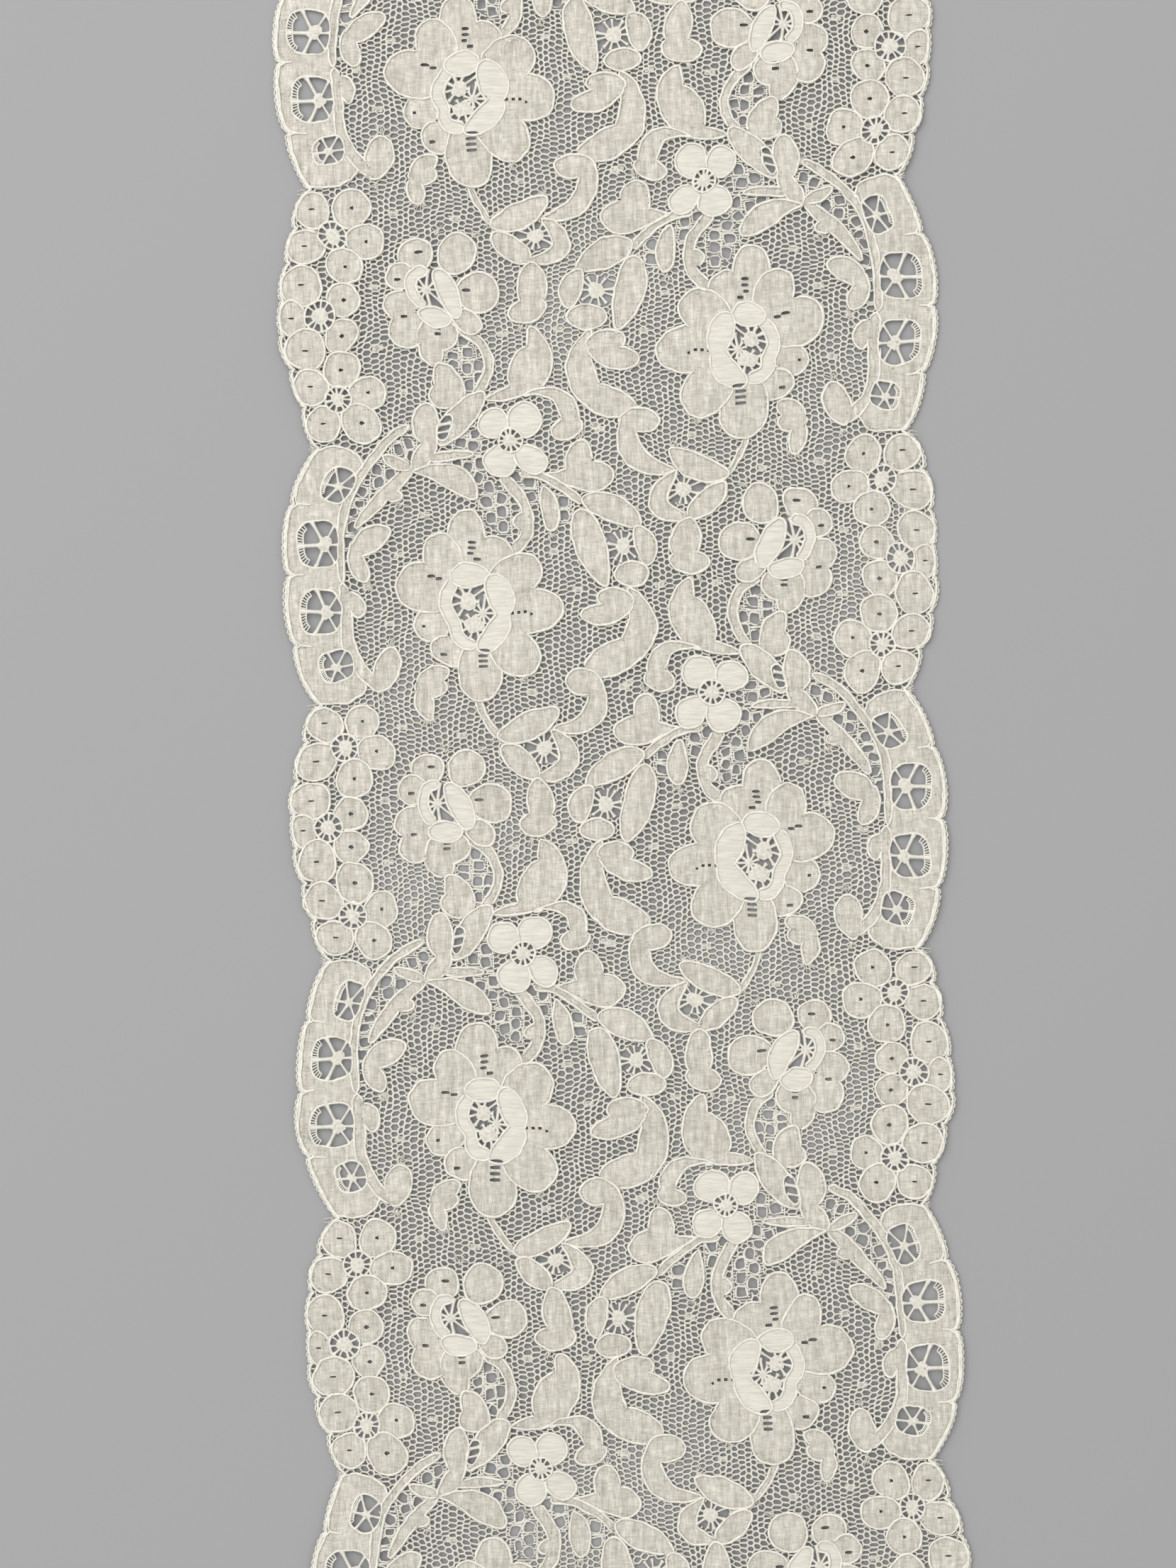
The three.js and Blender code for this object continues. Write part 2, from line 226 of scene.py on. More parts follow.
# motif, u0, v0, u1, v1, bow, width, widest, ends
LEAVES = [
    ("hook", -32.2, -0.8, -30.8, 5.1, -0.3, 3.7, 0.55, 0.50),
    ("hook", -36.9, 13.3, -35.2, 9.6, 0.9, 2.2, 0.60, 0.50),
    ("inner arc", -26.8, 30.3, -34.8, 21.6, -0.5, 1.8, 0.50, 0.45),
    ("inner arc", -31.2, 26.6, -28.5, 26.4, 0.0, 1.7, 0.50, 0.50),
    ("link leaf", -31.2, 31.6, -27.2, 30.0, -0.2, 1.5, 0.50, 0.50),
    ("legs", -27.2, 29.8, -23.8, 34.0, -0.2, 2.5, 0.50, 0.50),
    ("mitten", -35.2, 18.2, -30.0, 21.4, 0.4, 3.3, 0.50, 0.50),
    ("mitten", -35.2, 20.0, -33.4, 14.9, -0.5, 2.6, 0.62, 0.50),
    ("crown leaf", -27.2, 29.6, -18.5, 25.3, 1.3, 3.4, 0.64, 0.60),
    ("legs", -25.4, 31.0, -18.6, 31.3, 0.2, 1.2, 0.50, 0.50),
    ("hanging leaf", -9.1, 27.1, -8.2, 20.8, 0.3, 2.7, 0.58, 0.50),
    ("wave band", -13.7, 22.2, -11.0, 22.6, 0.0, 2.2, 0.50, 0.50),
    ("boot", -9.0, 28.8, 0.5, 28.2, -0.2, 4.3, 0.70, 0.60),
    ("boot", -4.4, 26.6, -4.2, 33.4, 0.0, 3.7, 0.60, 0.48),
    ("tall leaf", -3.9, 23.4, -1.2, 13.1, -0.3, 4.2, 0.42, 0.55),
    ("roof leaf", -3.6, 24.9, 4.2, 21.1, 0.5, 3.8, 0.45, 0.60),
    ("side leaf", 3.4, 21.0, 4.9, 15.9, 0.8, 3.1, 0.50, 0.50),
    ("under leaf", 0.2, 14.7, 5.3, 14.9, 0.0, 3.2, 0.50, 0.50),
    ("crescent", 2.2, 13.2, 0.8, 2.0, 2.3, 4.1, 0.60, 0.50),
    ("crescent", 4.2, 5.2, -3.9, 2.2, 0.5, 4.5, 0.50, 0.55),
    ("heart leaf", -4.6, 8.9, 2.6, 10.7, -0.4, 3.0, 0.45, 0.55),
    ("heart leaf", -2.4, 11.4, 2.9, 11.2, 0.3, 2.9, 0.45, 0.50),
    ("comma", -6.6, -0.3, -1.4, -0.6, 0.7, 3.6, 0.45, 0.45),
    ("comma", -2.4, 0.9, -8.8, -6.3, 3.0, 3.0, 0.37, 0.60),
    ("lid leaf", -16.0, -7.4, -8.0, -3.7, -0.5, 3.5, 0.48, 0.55),
    ("cup, right", -9.0, -6.5, -10.9, -12.7, 3.6, 2.7, 0.50, 0.55),
    ("cup, left", -15.5, -8.5, -10.6, -12.7, -0.1, 3.1, 0.50, 0.50),
    ("twin leaf", -10.7, -12.7, -10.1, -19.4, 0.1, 3.9, 0.55, 0.48),
    ("twin leaf", -13.5, -19.4, -8.2, -18.6, -0.3, 3.4, 0.50, 0.50),
    ("broad leaf", -10.6, -21.5, -12.0, -31.2, 1.9, 3.8, 0.50, 0.55),
    ("broad leaf", -10.6, -24.2, -13.2, -30.4, 0.2, 4.0, 0.50, 0.45),
    ("broad leaf", -10.8, -30.3, -17.1, -31.3, 0.0, 1.7, 0.40, 0.60),
    ("crook", -12.0, -31.2, -5.6, -36.3, 3.0, 2.6, 0.70, 0.55),
    ("crook", -4.1, -34.6, -8.2, -35.9, 0.2, 2.8, 0.50, 0.50),
    ("small flower, f", -25.6, -21.5, -23.4, -26.6, 0.0, 3.4, 0.50, 0.45),
    ("drop", -22.9, 2.1, -26.9, 0.0, -0.1, 2.6, 0.50, 0.50),
    ("drop", -27.2, -0.2, -23.1, -0.4, 0.0, 2.6, 0.50, 0.45),
    ("drop", -26.6, -0.4, -25.4, -4.6, 0.0, 2.3, 0.45, 0.60),
    ("sepal", -23.6, -26.4, -21.2, -32.5, 0.7, 3.5, 0.50, 0.48),
    ("sepal", -24.4, -30.2, -20.0, -30.4, 0.0, 3.6, 0.50, 0.45),
    ("legs", -24.2, -31.4, -24.6, -37.6, -0.5, 3.7, 0.50, 0.55),
    ("legs", -17.3, -30.4, -23.3, -37.4, -0.2, 3.6, 0.48, 0.55),
]
print("blades:", len(LEAVES), "stems:", len(STEMS))

# %% Chart: flowers
# flower: heart, then its petals as bearing in degrees, near and far end from the heart, width, and the letter of the
# group that the petal melts into
FLOWERS = {
    "edge flower, top": ((-37.4, -8.4), [
        (127, 1.7, 6.6, 4.7, "a"), (52, 1.8, 6.9, 4.8, "b"), (202, 1.3, 6.8, 4.8, "c"), (350, 1.8, 7.2, 4.6, "d"),
        (288, 1.8, 6.8, 5.0, "e")]),
    "edge flower, middle": ((-39.5, -19.4), [
        (121, 1.9, 7.2, 5.3, "a"), (34, 1.4, 5.9, 4.6, "b"), (186, 1.8, 5.1, 4.8, "c"), (320, 1.8, 6.1, 4.7, "d"),
        (248, 2.0, 7.6, 5.4, "e")]),
    "edge flower, bottom": ((-36.9, -31.0), [
        (82, 1.7, 6.9, 5.0, "a"), (154, 1.6, 6.8, 5.0, "b"), (10, 1.6, 6.4, 4.8, "c"), (234, 1.6, 6.2, 4.9, "d"),
        (308, 1.6, 7.3, 4.8, "e")]),
    "large flower": ((-20.0, 10.5), [
        (64, 5.4, 10.7, 5.0, "a"), (90, 4.4, 13.5, 5.4, "a"), (114, 3.0, 11.0, 5.2, "b"), (204, 2.5, 7.9, 4.5, "c"),
        (155, 2.4, 10.4, 6.4, "b"), (245, 4.2, 8.4, 5.0, "d"), (279, 4.4, 12.9, 6.2, "e"), (317, 4.2, 12.7, 6.2, "f"),
        (33, 3.6, 11.7, 6.2, "f"), (356, 3.8, 13.2, 6.3, "f")]),
    "small flower": ((-24.5, -16.5), [
        (106, 3.0, 7.4, 4.7, "a"), (51, 3.6, 9.1, 5.1, "d"), (148, 2.3, 6.3, 3.9, "c"), (0, 4.0, 9.9, 5.3, "d"),
        (205, 2.0, 6.6, 4.2, "e"), (240, 3.4, 8.6, 4.9, "e"), (280, 3.4, 8.3, 5.8, "f"), (324, 4.4, 8.7, 3.2, "d")]),
}
FOUR_PETAL = ((-13.4, 33.3), [
    (136, 1.1, 5.5, 4.2, "a"), (57, 0.8, 5.5, 4.6, "b"), (317, 1.3, 5.9, 3.8, "c"), (244, 0.9, 5.5, 4.5, "d")])

# motif, u0, v0, u1, v1, bow, width
CUPS = [
    ("large cup, top", -21.9, 14.5, -17.0, 15.0, 0.1, 3.4),
    ("large cup, right", -16.8, 15.0, -14.6, 9.0, 0.4, 3.7),
    ("large cup, right", -14.6, 10.4, -19.0, 5.2, 1.0, 3.3),
    ("small cup, right", -23.6, -13.6, -20.6, -20.0, 0.5, 3.0),
    ("small cup, lower", -25.9, -19.1, -21.4, -19.9, -0.6, 2.9),
]
HEART_RINGS = [
    ("large ring", 1.7, [(-21.2, 14.2), (-22.2, 12.7), (-22.7, 11.2), (-22.4, 9.9), (-21.7, 8.6), (-21.6, 7.3),
                         (-20.7, 6.1), (-18.9, 5.6)]),
    ("small ring", 1.4, [(-24.4, -13.5), (-26.2, -13.9), (-26.9, -15.8), (-26.3, -17.6), (-25.2, -18.8)]),
]
print("petals:", sum(len(petals) for _, petals in FLOWERS.values()) + len(FOUR_PETAL[1]))

# %% Chart: openings, spots and slits
# u, v, half width, half height, tilt
ARCH_WINDOWS = [
    (-37.35, 27.6, 1.95, 2.7, -24), (-40.2, 19.6, 2.9, 3.1, 0), (-40.1, 10.4, 2.9, 3.1, 0), (-37.9, 3.2, 2.2, 2.1, 15)]
HEART_WINDOWS = [(-19.0, 9.8, 3.0, 4.1, 0), (-24.0, -16.4, 2.1, 3.1, 28)]
LOOP_WINDOW = (-22.4, -35.0, 0.85, 1.9, -18)

# u, v, radius
ROSETTES = [(-37.4, -8.4, 1.9), (-39.5, -19.4, 2.05), (-36.9, -31.0, 1.85), (-13.4, 33.3, 1.65)]

# rosettes without a rim of their own, between leaves: u, v, half width, half height
OPEN_ROSETTES = [(1.6, 18.3, 2.3, 2.1), (-9.9, -8.9, 2.7, 1.9)]

# large meshes of the openwork beside the stems: u, v
OPENWORK = [
    (-28.9, 32.4), (-27.4, 33.2), (-25.6, 32.4), (-27.0, 31.5), (-32.2, 29.8), (-30.2, 29.3), (-31.9, 28.2),
    (-34.2, 26.8), (-34.4, 25.0), (-35.3, 23.8), (-35.3, 21.7), (-36.0, 19.8), (-36.0, 18.2), (-36.0, 16.7),
    (-20.3, 33.1), (-18.3, 34.3), (-18.6, 32.6), (-21.0, 30.2), (-19.5, 29.5), (-17.7, 30.0), (-18.0, 28.0),
    (-16.5, 26.7), (-17.0, 24.8), (-15.0, 25.3), (-15.0, 23.6), (-15.0, 21.7), (-16.5, 22.8), (-12.7, 28.2),
    (-11.0, 27.5), (-11.0, 25.6), (-6.3, 24.7), (-6.2, 22.8), (-19.8, -23.2), (-21.3, -25.2), (-19.4, -24.8),
    (-21.3, -26.4), (-19.5, -27.0), (-18.0, -26.7), (-18.0, -28.3), (-19.3, -29.2)]

# woven spots in the net: u, v
SPOTS = [(-25.7, 23.6), (-29, 18), (-33.5, 14), (-31, 8.6), (-29, -5.5), (-21, -6.7), (-32, -15.5), (-31.5, -24),
         (-28, -30), (-8, 18), (-5, 12.6), (-11.5, -1.5), (2, -0.3), (-6.5, -22), (-14.5, -22.3), (-1.5, 34.5)]

# slits in the cloth stitch: u, v, length
SLITS = [
    (-19.1, 19.6, 1.0), (-19.1, 18.8, 1.0), (-19.2, 18.0, 0.9), (-18.4, 17.2, 1.3), (-18.0, 4.85, 1.7),
    (-18.1, 4.05, 1.7), (-18.15, 3.25, 1.7), (-18.15, 2.45, 1.6), (-24.6, 14.8, 1.0), (-23.5, 14.35, 1.1),
    (-26.0, 8.1, 0.5), (-23.6, 4.25, 1.1), (-13.4, 9.6, 0.5), (-12.6, 9.6, 0.6), (-11.8, 9.6, 0.6), (-11.0, 9.2, 0.5),
    (-19.0, -16.0, 1.2), (-23.5, -21.5, 1.2), (-23.5, -22.3, 1.2), (-28.2, -20.0, 1.0), (-25.5, -11.2, 1.0),
    (-28.6, -14.4, 0.9)]
print("windows:", len(ARCH_WINDOWS) + len(HEART_WINDOWS) + 1, "rosettes:", len(ROSETTES) + len(OPEN_ROSETTES))

# %% [markdown]
# ## All the outlines
# The motifs are listed from the lowest to the highest, so that a petal's cord can run in front of its neighbour's.
# Each has the name of its motif, its outline, and whether it is worked densely. Holes are the openings that are
# filled with spiders and rosettes instead of cloth stitch. Only the cups and rings of the flower hearts reach over
# them.

# %% Petals, scalloped edge and arches
EDGE_STEPS = 24
ARCH_INSET = 0.55  # how far the cloth of an arch stays inside the edge
PETAL_WIDEST = 0.55


def petals_of(heart, petals, ends=0.45):
    """A flower's petals as blades along their bearings, out from the heart. Smaller ends make squarer petals."""
    heart = np.array(heart)
    outward = heading(np.radians([row[0] for row in petals]))
    return [blade(*(heart + near * ray), *(heart + far * ray), 0.0, width, PETAL_WIDEST, ends)
            for ray, (_, near, far, width, _) in zip(outward, petals)]


def edge_lobes():
    """The scalloped edge of one repeat: between two notches the straight line, pushed out by a half ellipse. Shape
    (lobes, steps, 2)."""
    here = np.array(EDGE)
    after = np.roll(here, -1, axis=0)
    after[-1, 1] -= 2 * HALF_DROP
    t = (np.arange(EDGE_STEPS) / EDGE_STEPS)[None, :]
    line = here[:, None, :2] + t[..., None] * (after - here)[:, None, :2]
    line[..., 0] -= here[:, None, 2] * np.sqrt(4 * t * (1 - t))
    return line


def arch_lobes():
    """The woven lobes of an edge arch: the edge's own curve, a little inside it, closed by the inner corners."""
    outer = edge_lobes()[:len(ARCH_INNER)] + np.array([ARCH_INSET, 0.0])
    return [np.concatenate([curve[1:], np.array(inner)]) for curve, inner in zip(outer, ARCH_INNER)]


print("points of an arch lobe:", len(arch_lobes()[0]))

# %% Motifs and holes of one half repeat
EDGE_PETAL_ENDS, PETAL_ENDS = 0.36, 0.40
ARCH_SQUARENESS, ROUND = 3.0, 2.0

motifs = [("arch", loop, False) for loop in arch_lobes()]
motifs += [(name, band(width, points), False) for name, width, points in STEMS]
motifs += [(name, blade(*row), False) for name, *row in LEAVES]
for flower, (heart, petals) in FLOWERS.items():
    loops = petals_of(heart, petals, EDGE_PETAL_ENDS if flower.startswith("edge") else PETAL_ENDS)
    motifs += [(f"{flower}, {row[4]}", loop, False) for row, loop in zip(petals, loops)]
motifs += [(f"four-petal flower, {row[4]}", loop, True) for row, loop in zip(FOUR_PETAL[1], petals_of(*FOUR_PETAL))]
first_cup = len(motifs)
motifs += [(name, band(width, points), True) for name, width, points in HEART_RINGS]
motifs += [(name, blade(*row), True) for name, *row in CUPS]

windows = [rounded(*row, ARCH_SQUARENESS) for row in ARCH_WINDOWS]
windows += [rounded(*row) for row in HEART_WINDOWS + [LOOP_WINDOW]]
holes = windows + [rounded(u, v, radius, radius, squareness=ROUND) for u, v, radius in ROSETTES]
print("motif outlines:", len(motifs), "holes:", len(holes))

# %% [markdown]
# ## Which side of an outline
# Cloth, net and cords all ask the same question: is this place inside a motif, and how far from its rim? One
# function answers it for many places at once. The nearest point on each straight piece of the outline gives the
# distance, and counting how often a level ray crosses the outline tells inside from outside.

# %% Distance from an outline
FAR_OFF = 9.0  # stands for every gap that is too wide to matter
NEARBY = 1.2  # outlines further off than this are passed over


def gap_and_foot(points, loop):
    """Distance of each point from a closed outline, negative inside, and the nearest point on the outline."""
    start, step = loop, np.roll(loop, -1, axis=0) - loop
    away = points[:, None] - start
    t = np.clip((away * step).sum(-1) / np.maximum((step ** 2).sum(-1), 1e-12), 0, 1)
    foot = start + t[..., None] * step
    far = np.linalg.norm(points[:, None] - foot, axis=-1)
    pick = far.argmin(1)
    each = np.arange(len(points))
    above = away[..., 1] < 0
    upward = np.sign(step[:, 1])
    crosses = (above != np.roll(above, -1, axis=1)) & (away[..., 0] * step[:, 1] * upward
                                                       < away[..., 1] * step[:, 0] * upward)
    sign = np.where(crosses.sum(1) % 2 == 1, -1.0, 1.0)
    return sign * far[each, pick], foot[each, pick]


def nearest_rim(points, loops):
    """For each point the smallest gap to any of the outlines, and the foot on that outline."""
    gap, foot = np.full(len(points), FAR_OFF), points.copy()
    for loop in loops:
        low, high = loop.min(0) - NEARBY, loop.max(0) + NEARBY
        near = np.flatnonzero(((points > low) & (points < high)).all(1))
        if len(near) == 0:
            continue
        new_gap, new_foot = gap_and_foot(points[near], loop)
        better = new_gap < gap[near]
        gap[near[better]], foot[near[better]] = new_gap[better], new_foot[better]
    return gap, foot


print("gap at the middle of a window 2 mm wide:", gap_and_foot(np.zeros((1, 2)), rounded(0, 0, 1, 1))[0].round(2))


# %% Outlines and edges over the whole strip
def everywhere(loops):
    """The same outlines in every unit of the strip."""
    return [on_strip(loop, unit) for unit in UNITS for loop in loops]


def edge_of_strip(side):
    """One edge over the whole strip, from its bottom to its top. side 0 is the left edge and 1 the right."""
    line = np.concatenate([on_strip(edge_lobes().reshape(-1, 2), unit) for unit in UNITS if unit % 2 == side])
    return line[np.argsort(line[:, 1], kind="stable")]


left_edge, right_edge = edge_of_strip(0), edge_of_strip(1)


def inside_edges(points, margin):
    """Whether points lie between the two cut ends and at least the margin inside the two scalloped edges."""
    left = np.interp(points[:, 1], left_edge[:, 1], left_edge[:, 0])
    right = np.interp(points[:, 1], right_edge[:, 1], right_edge[:, 0])
    across = (points[:, 0] > left + margin) & (points[:, 0] < right - margin)
    return across & (np.abs(points[:, 1]) < CUT_LENGTH / 2)


print("width of the strip, mm:", round(right_edge[:, 0].max() - left_edge[:, 0].min(), 1))

# %% [markdown]
# ## Threads as swept ovals
# A thread is an oval carried along a path. Thousands of them go into one mesh as whole arrays: the oval's points at
# every place of every path, and four-cornered faces between each place and the next. Faces that would be hidden
# are left out, and so are points that no face uses.


# %% Sweeps
def sweep(paths, width, height, sides, closed=False, keep=None):
    """Ovals carried along paths of shape (count, places, 3), in mm. Each oval stands square to its path: width
    to the sides and height upwards. keep says which steps along each path get faces."""
    ahead = np.roll(paths, -1, axis=1) - np.roll(paths, 1, axis=1)
    if not closed:
        ahead[:, 0] = paths[:, 1] - paths[:, 0]
        ahead[:, -1] = paths[:, -1] - paths[:, -2]
    flat = ahead[..., :2] / np.maximum(np.linalg.norm(ahead[..., :2], axis=-1, keepdims=True), 1e-9)
    turn = np.pi / 2 + 2 * np.pi * np.arange(sides) / sides
    half_width = np.broadcast_to(np.asarray(width) / 2, paths.shape[:2])[..., None]
    half_height = np.broadcast_to(np.asarray(height) / 2, paths.shape[:2])[..., None]
    sideways = half_width * np.cos(turn)
    rings = np.stack([
        paths[..., None, 0] - flat[..., None, 1] * sideways,
        paths[..., None, 1] + flat[..., None, 0] * sideways,
        paths[..., None, 2] + half_height * np.sin(turn)], axis=-1)
    count, places = paths.shape[:2]
    index = np.arange(count * places * sides).reshape(count, places, sides)
    after = np.roll(index, -1, axis=1)
    if not closed:
        index, after = index[:, :-1], after[:, :-1]
    faces = np.stack([index, np.roll(index, -1, axis=2), np.roll(after, -1, axis=2), after], axis=-1)
    if keep is not None:
        faces = faces[keep]
    return rings.reshape(-1, 3), faces.reshape(-1, 4)


print("a thread of 5 places and 4 sides has", len(sweep(np.ones((1, 5, 3)).cumsum(1), 0.2, 0.1, 4)[1]), "faces")


# %% Meshes
def gather(parts):
    """Several (points, faces) pairs as one pair."""
    shifts = np.cumsum([0] + [len(points) for points, _ in parts[:-1]])
    return (np.concatenate([points for points, _ in parts]),
            np.concatenate([faces + shift for shift, (_, faces) in zip(shifts, parts)]))


def make_piece(name, points, faces, finish):
    """A smooth mesh object from points in mm and four-cornered faces, without unused points."""
    used, corners = np.unique(faces, return_inverse=True)
    mesh = bpy.data.meshes.new(name)
    mesh.vertices.add(len(used))
    mesh.vertices.foreach_set("co", (points[used] * MM).astype(np.float32).ravel())
    mesh.loops.add(faces.size)
    mesh.loops.foreach_set("vertex_index", corners.astype(np.int32).ravel())
    mesh.polygons.add(len(faces))
    mesh.polygons.foreach_set("loop_start", np.arange(0, faces.size, 4, dtype=np.int32))
    mesh.polygons.foreach_set("use_smooth", np.ones(len(faces), bool))
    mesh.update(calc_edges=True)
    mesh.materials.append(finish)
    piece = bpy.data.objects.new(name, mesh)
    bpy.context.scene.collection.objects.link(piece)
    print(f"{name}: {len(used)} points, {2 * len(faces)} triangles")
    return piece


# %% [markdown]
# ## Finishes
# All the threads are the same ivory cotton, but they catch light differently. Cords are thick and bright. The net is
# fine and a little dull. Cloth stitch shows its fine weave, soft lighter and darker stripes where the tension
# changes, and small gaps beside the cords, painted as dark specks for the shade that shows through them. Its closest
# parts shine like satin. The patterns are read at each point's place on the object, in metres, so their scale is that
# of the real threads.

# %% Helpers for the finishes
RELIEF = 0.05  # depth of the fibres and wefts, in mm


def finish_start(name, roughness, sheen):
    """A new material with its node tree and shader, and its object coordinates scaled to millimetres."""
    finish = bpy.data.materials.new(name)
    finish.use_nodes = True
    tree = finish.node_tree
    shader = tree.nodes["Principled BSDF"]
    shader.inputs["Roughness"].default_value = roughness
    shader.inputs["Specular IOR Level"].default_value = 0.25
    shader.inputs["Sheen Weight"].default_value = sheen
    shader.inputs["Sheen Roughness"].default_value = 0.5
    place = tree.nodes.new("ShaderNodeTexCoord")
    scale = tree.nodes.new("ShaderNodeMapping")
    scale.inputs["Scale"].default_value = (1 / MM, 1 / MM, 1 / MM)
    tree.links.new(place.outputs["Object"], scale.inputs["Vector"])
    return finish, tree, shader, scale.outputs["Vector"]


def noise(tree, vector, stretch, detail=2.0):
    """Soft noise with its own number of waves per millimetre along x, y and z."""
    scale = tree.nodes.new("ShaderNodeMapping")
    scale.inputs["Scale"].default_value = stretch
    tree.links.new(vector, scale.inputs["Vector"])
    texture = tree.nodes.new("ShaderNodeTexNoise")
    texture.inputs["Scale"].default_value = 1.0
    texture.inputs["Detail"].default_value = detail
    tree.links.new(scale.outputs["Vector"], texture.inputs["Vector"])
    return texture.outputs["Fac"]


def tones(tree, value, dark, light, low=0.3, high=0.7):
    """A colour between dark and light as a value goes from low to high."""
    ramp = tree.nodes.new("ShaderNodeValToRGB")
    ramp.color_ramp.elements[0].position, ramp.color_ramp.elements[1].position = low, high
    ramp.color_ramp.elements[0].color, ramp.color_ramp.elements[1].color = (*dark, 1), (*light, 1)
    tree.links.new(value, ramp.inputs["Fac"])
    return ramp.outputs["Color"]


def bump(tree, shader, height):
    """Fine relief on the shader's normal."""
    relief = tree.nodes.new("ShaderNodeBump")
    relief.inputs["Distance"].default_value = RELIEF * MM
    tree.links.new(height, relief.inputs["Height"])
    tree.links.new(relief.outputs["Normal"], shader.inputs["Normal"])


# %% Thread finishes
def thread_finish(name, dark, light, fibre, grain=1.6):
    """Cotton thread: tone varies along it from strand to strand, and fine fibres give relief."""
    finish, tree, shader, vector = finish_start(name, 0.8, 0.25)
    strands = noise(tree, vector, (grain, grain, grain), 4.0)
    tree.links.new(tones(tree, strands, dark, light), shader.inputs["Base Color"])
    bump(tree, shader, noise(tree, vector, (fibre, fibre, fibre), 3.0))
    return finish


hub_finish = thread_finish("ivory_hub", (0.54, 0.515, 0.45), (0.77, 0.742, 0.67), 3.0, 2.6)
cord_finish = thread_finish("ivory_cord", (0.70, 0.675, 0.60), (0.90, 0.875, 0.80), 7.0)
net_finish = thread_finish("ivory_net_thread", (0.68, 0.655, 0.58), (0.83, 0.805, 0.735), 9.0)
print("thread finishes:", hub_finish.name, cord_finish.name, net_finish.name)


# %% Cloth stitch finish
def attribute(tree, name):
    """A value stored on the mesh."""
    node = tree.nodes.new("ShaderNodeAttribute")
    node.attribute_name = name
    return node.outputs["Fac"]


def mix(tree, kind, a, b, amount=None):
    """Two colours mixed by one of the mix modes, in full or by an amount that varies over the surface."""
    node = tree.nodes.new("ShaderNodeMix")
    node.data_type, node.blend_type = "RGBA", kind
    tree.links.new(a, node.inputs[6])
    tree.links.new(b, node.inputs[7])
    node.inputs[0].default_value = 1.0
    if amount is not None:
        tree.links.new(amount, node.inputs[0])
    return node.outputs[2]


cloth_finish, tree, shader, vector = finish_start("ivory_cloth_stitch", 0.9, 0.2)
stripes = noise(tree, vector, (1.5, 0.20, 0.2))
warp = noise(tree, vector, (7.0, 0.7, 1.0), 1.0)
weft = noise(tree, vector, (0.9, 7.0, 1.0), 1.0)
patches = noise(tree, vector, (0.9, 1.3, 1.0))
ground = tones(tree, stripes, (0.60, 0.572, 0.503), (0.80, 0.77, 0.692))
for layer, dark, light in ((warp, (0.80, 0.796, 0.785), 1.05), (weft, (0.84, 0.837, 0.83), 1.05),
                           (patches, (0.82, 0.818, 0.81), 1.0)):
    ground = mix(tree, "MULTIPLY", ground, tones(tree, layer, dark, (light, light, light)))
# painted shade: dark specks near the rims stand for the shade seen through small gaps in the weave beside the cords,
# fading out between 0.4 and 0.8 mm from a rim
pores = noise(tree, vector, (4.6, 3.2, 1.0), 0.0)
gap_shade_specks = tones(tree, pores, (1, 1, 1), (0.60, 0.59, 0.57), 0.64, 0.76)
near_rim = tones(tree, attribute(tree, "depth"), (1, 1, 1), (0, 0, 0), 0.4, 0.8)
ground = mix(tree, "MULTIPLY", ground, gap_shade_specks, near_rim)
satin = tones(tree, noise(tree, vector, (0.5, 3.6, 0.5)), (0.60, 0.575, 0.51), (0.74, 0.712, 0.64))
tree.links.new(mix(tree, "MIX", ground, satin, attribute(tree, "dense")), shader.inputs["Base Color"])
bump(tree, shader, weft)
print("cloth finish:", cloth_finish.name, "with", len(tree.nodes), "nodes")

# %% [markdown]
# ## Cloth stitch
# The flowers and leaves are woven solid. A sheet of small four-cornered faces is laid over the whole strip, in step
# with the warp, and only the faces inside a motif stay. Their rim would be a staircase, so each point on the rim
# moves to the nearest place on the true outline. Slits are single rows of faces left out, as the real ones are
# skipped wefts, and their rims move in the same way.

# %% A grid of warp and weft
CELL_U, CELL_V = 0.46, HALF_DROP / 90
HALF_COLUMNS, HALF_ROWS = 100, 293

columns = np.arange(-HALF_COLUMNS, HALF_COLUMNS + 1) * CELL_U
picks = np.arange(-HALF_ROWS, HALF_ROWS + 1) * CELL_V
grid = np.stack(np.meshgrid(columns, picks, indexing="ij"), axis=-1)
centres = (grid[:-1, :-1] + grid[1:, 1:]).reshape(-1, 2) / 2
strip_motifs = everywhere([loop for _, loop, _ in motifs])
strip_dense = everywhere([loop for _, loop, dense in motifs if dense])
strip_cups = everywhere([loop for _, loop, _ in motifs[first_cup:]])
strip_holes = everywhere(holes)
motif_gap, dense_gap, cup_gap, hole_gap = (
    nearest_rim(centres, loops)[0] for loops in (strip_motifs, strip_dense, strip_cups, strip_holes))
kept = (((motif_gap < 0) & (hole_gap > 0)) | (cup_gap < 0)) & inside_edges(centres, 0.0)
print("cloth faces:", kept.sum(), "of", len(kept))

# %% Slits
# length and half height of the slits in the edge flowers, and half height of the charted ones
CROSS, DASH, SLIT_HALF = (0.6, 0.34), (0.9, 0.13), 0.23
CROSS_SQUARENESS, SLIT_SQUARENESS = 1.2, 2.4


def slit_rows():
    """Every slit of a half repeat as u, v, length and half height: the charted ones, and one at the middle of each
    edge flower's petals, a fine dash towards the edge and a short cross on the other side."""
    edge = [(heart, row) for name, (heart, petals) in FLOWERS.items() if name.startswith("edge") for row in petals]
    heart = np.array([place for place, _ in edge])
    bearing, near, far = np.array([row[:3] for _, row in edge]).T
    outward = heading(np.radians(bearing))
    middle = heart + (0.46 * near + 0.54 * far)[:, None] * outward
    charted = np.concatenate([np.array(SLITS), np.full((len(SLITS), 1), SLIT_HALF)], 1)
    return np.concatenate([charted, np.concatenate([middle, np.where(outward[:, :1] > 0.1, [CROSS], [DASH])], 1)])


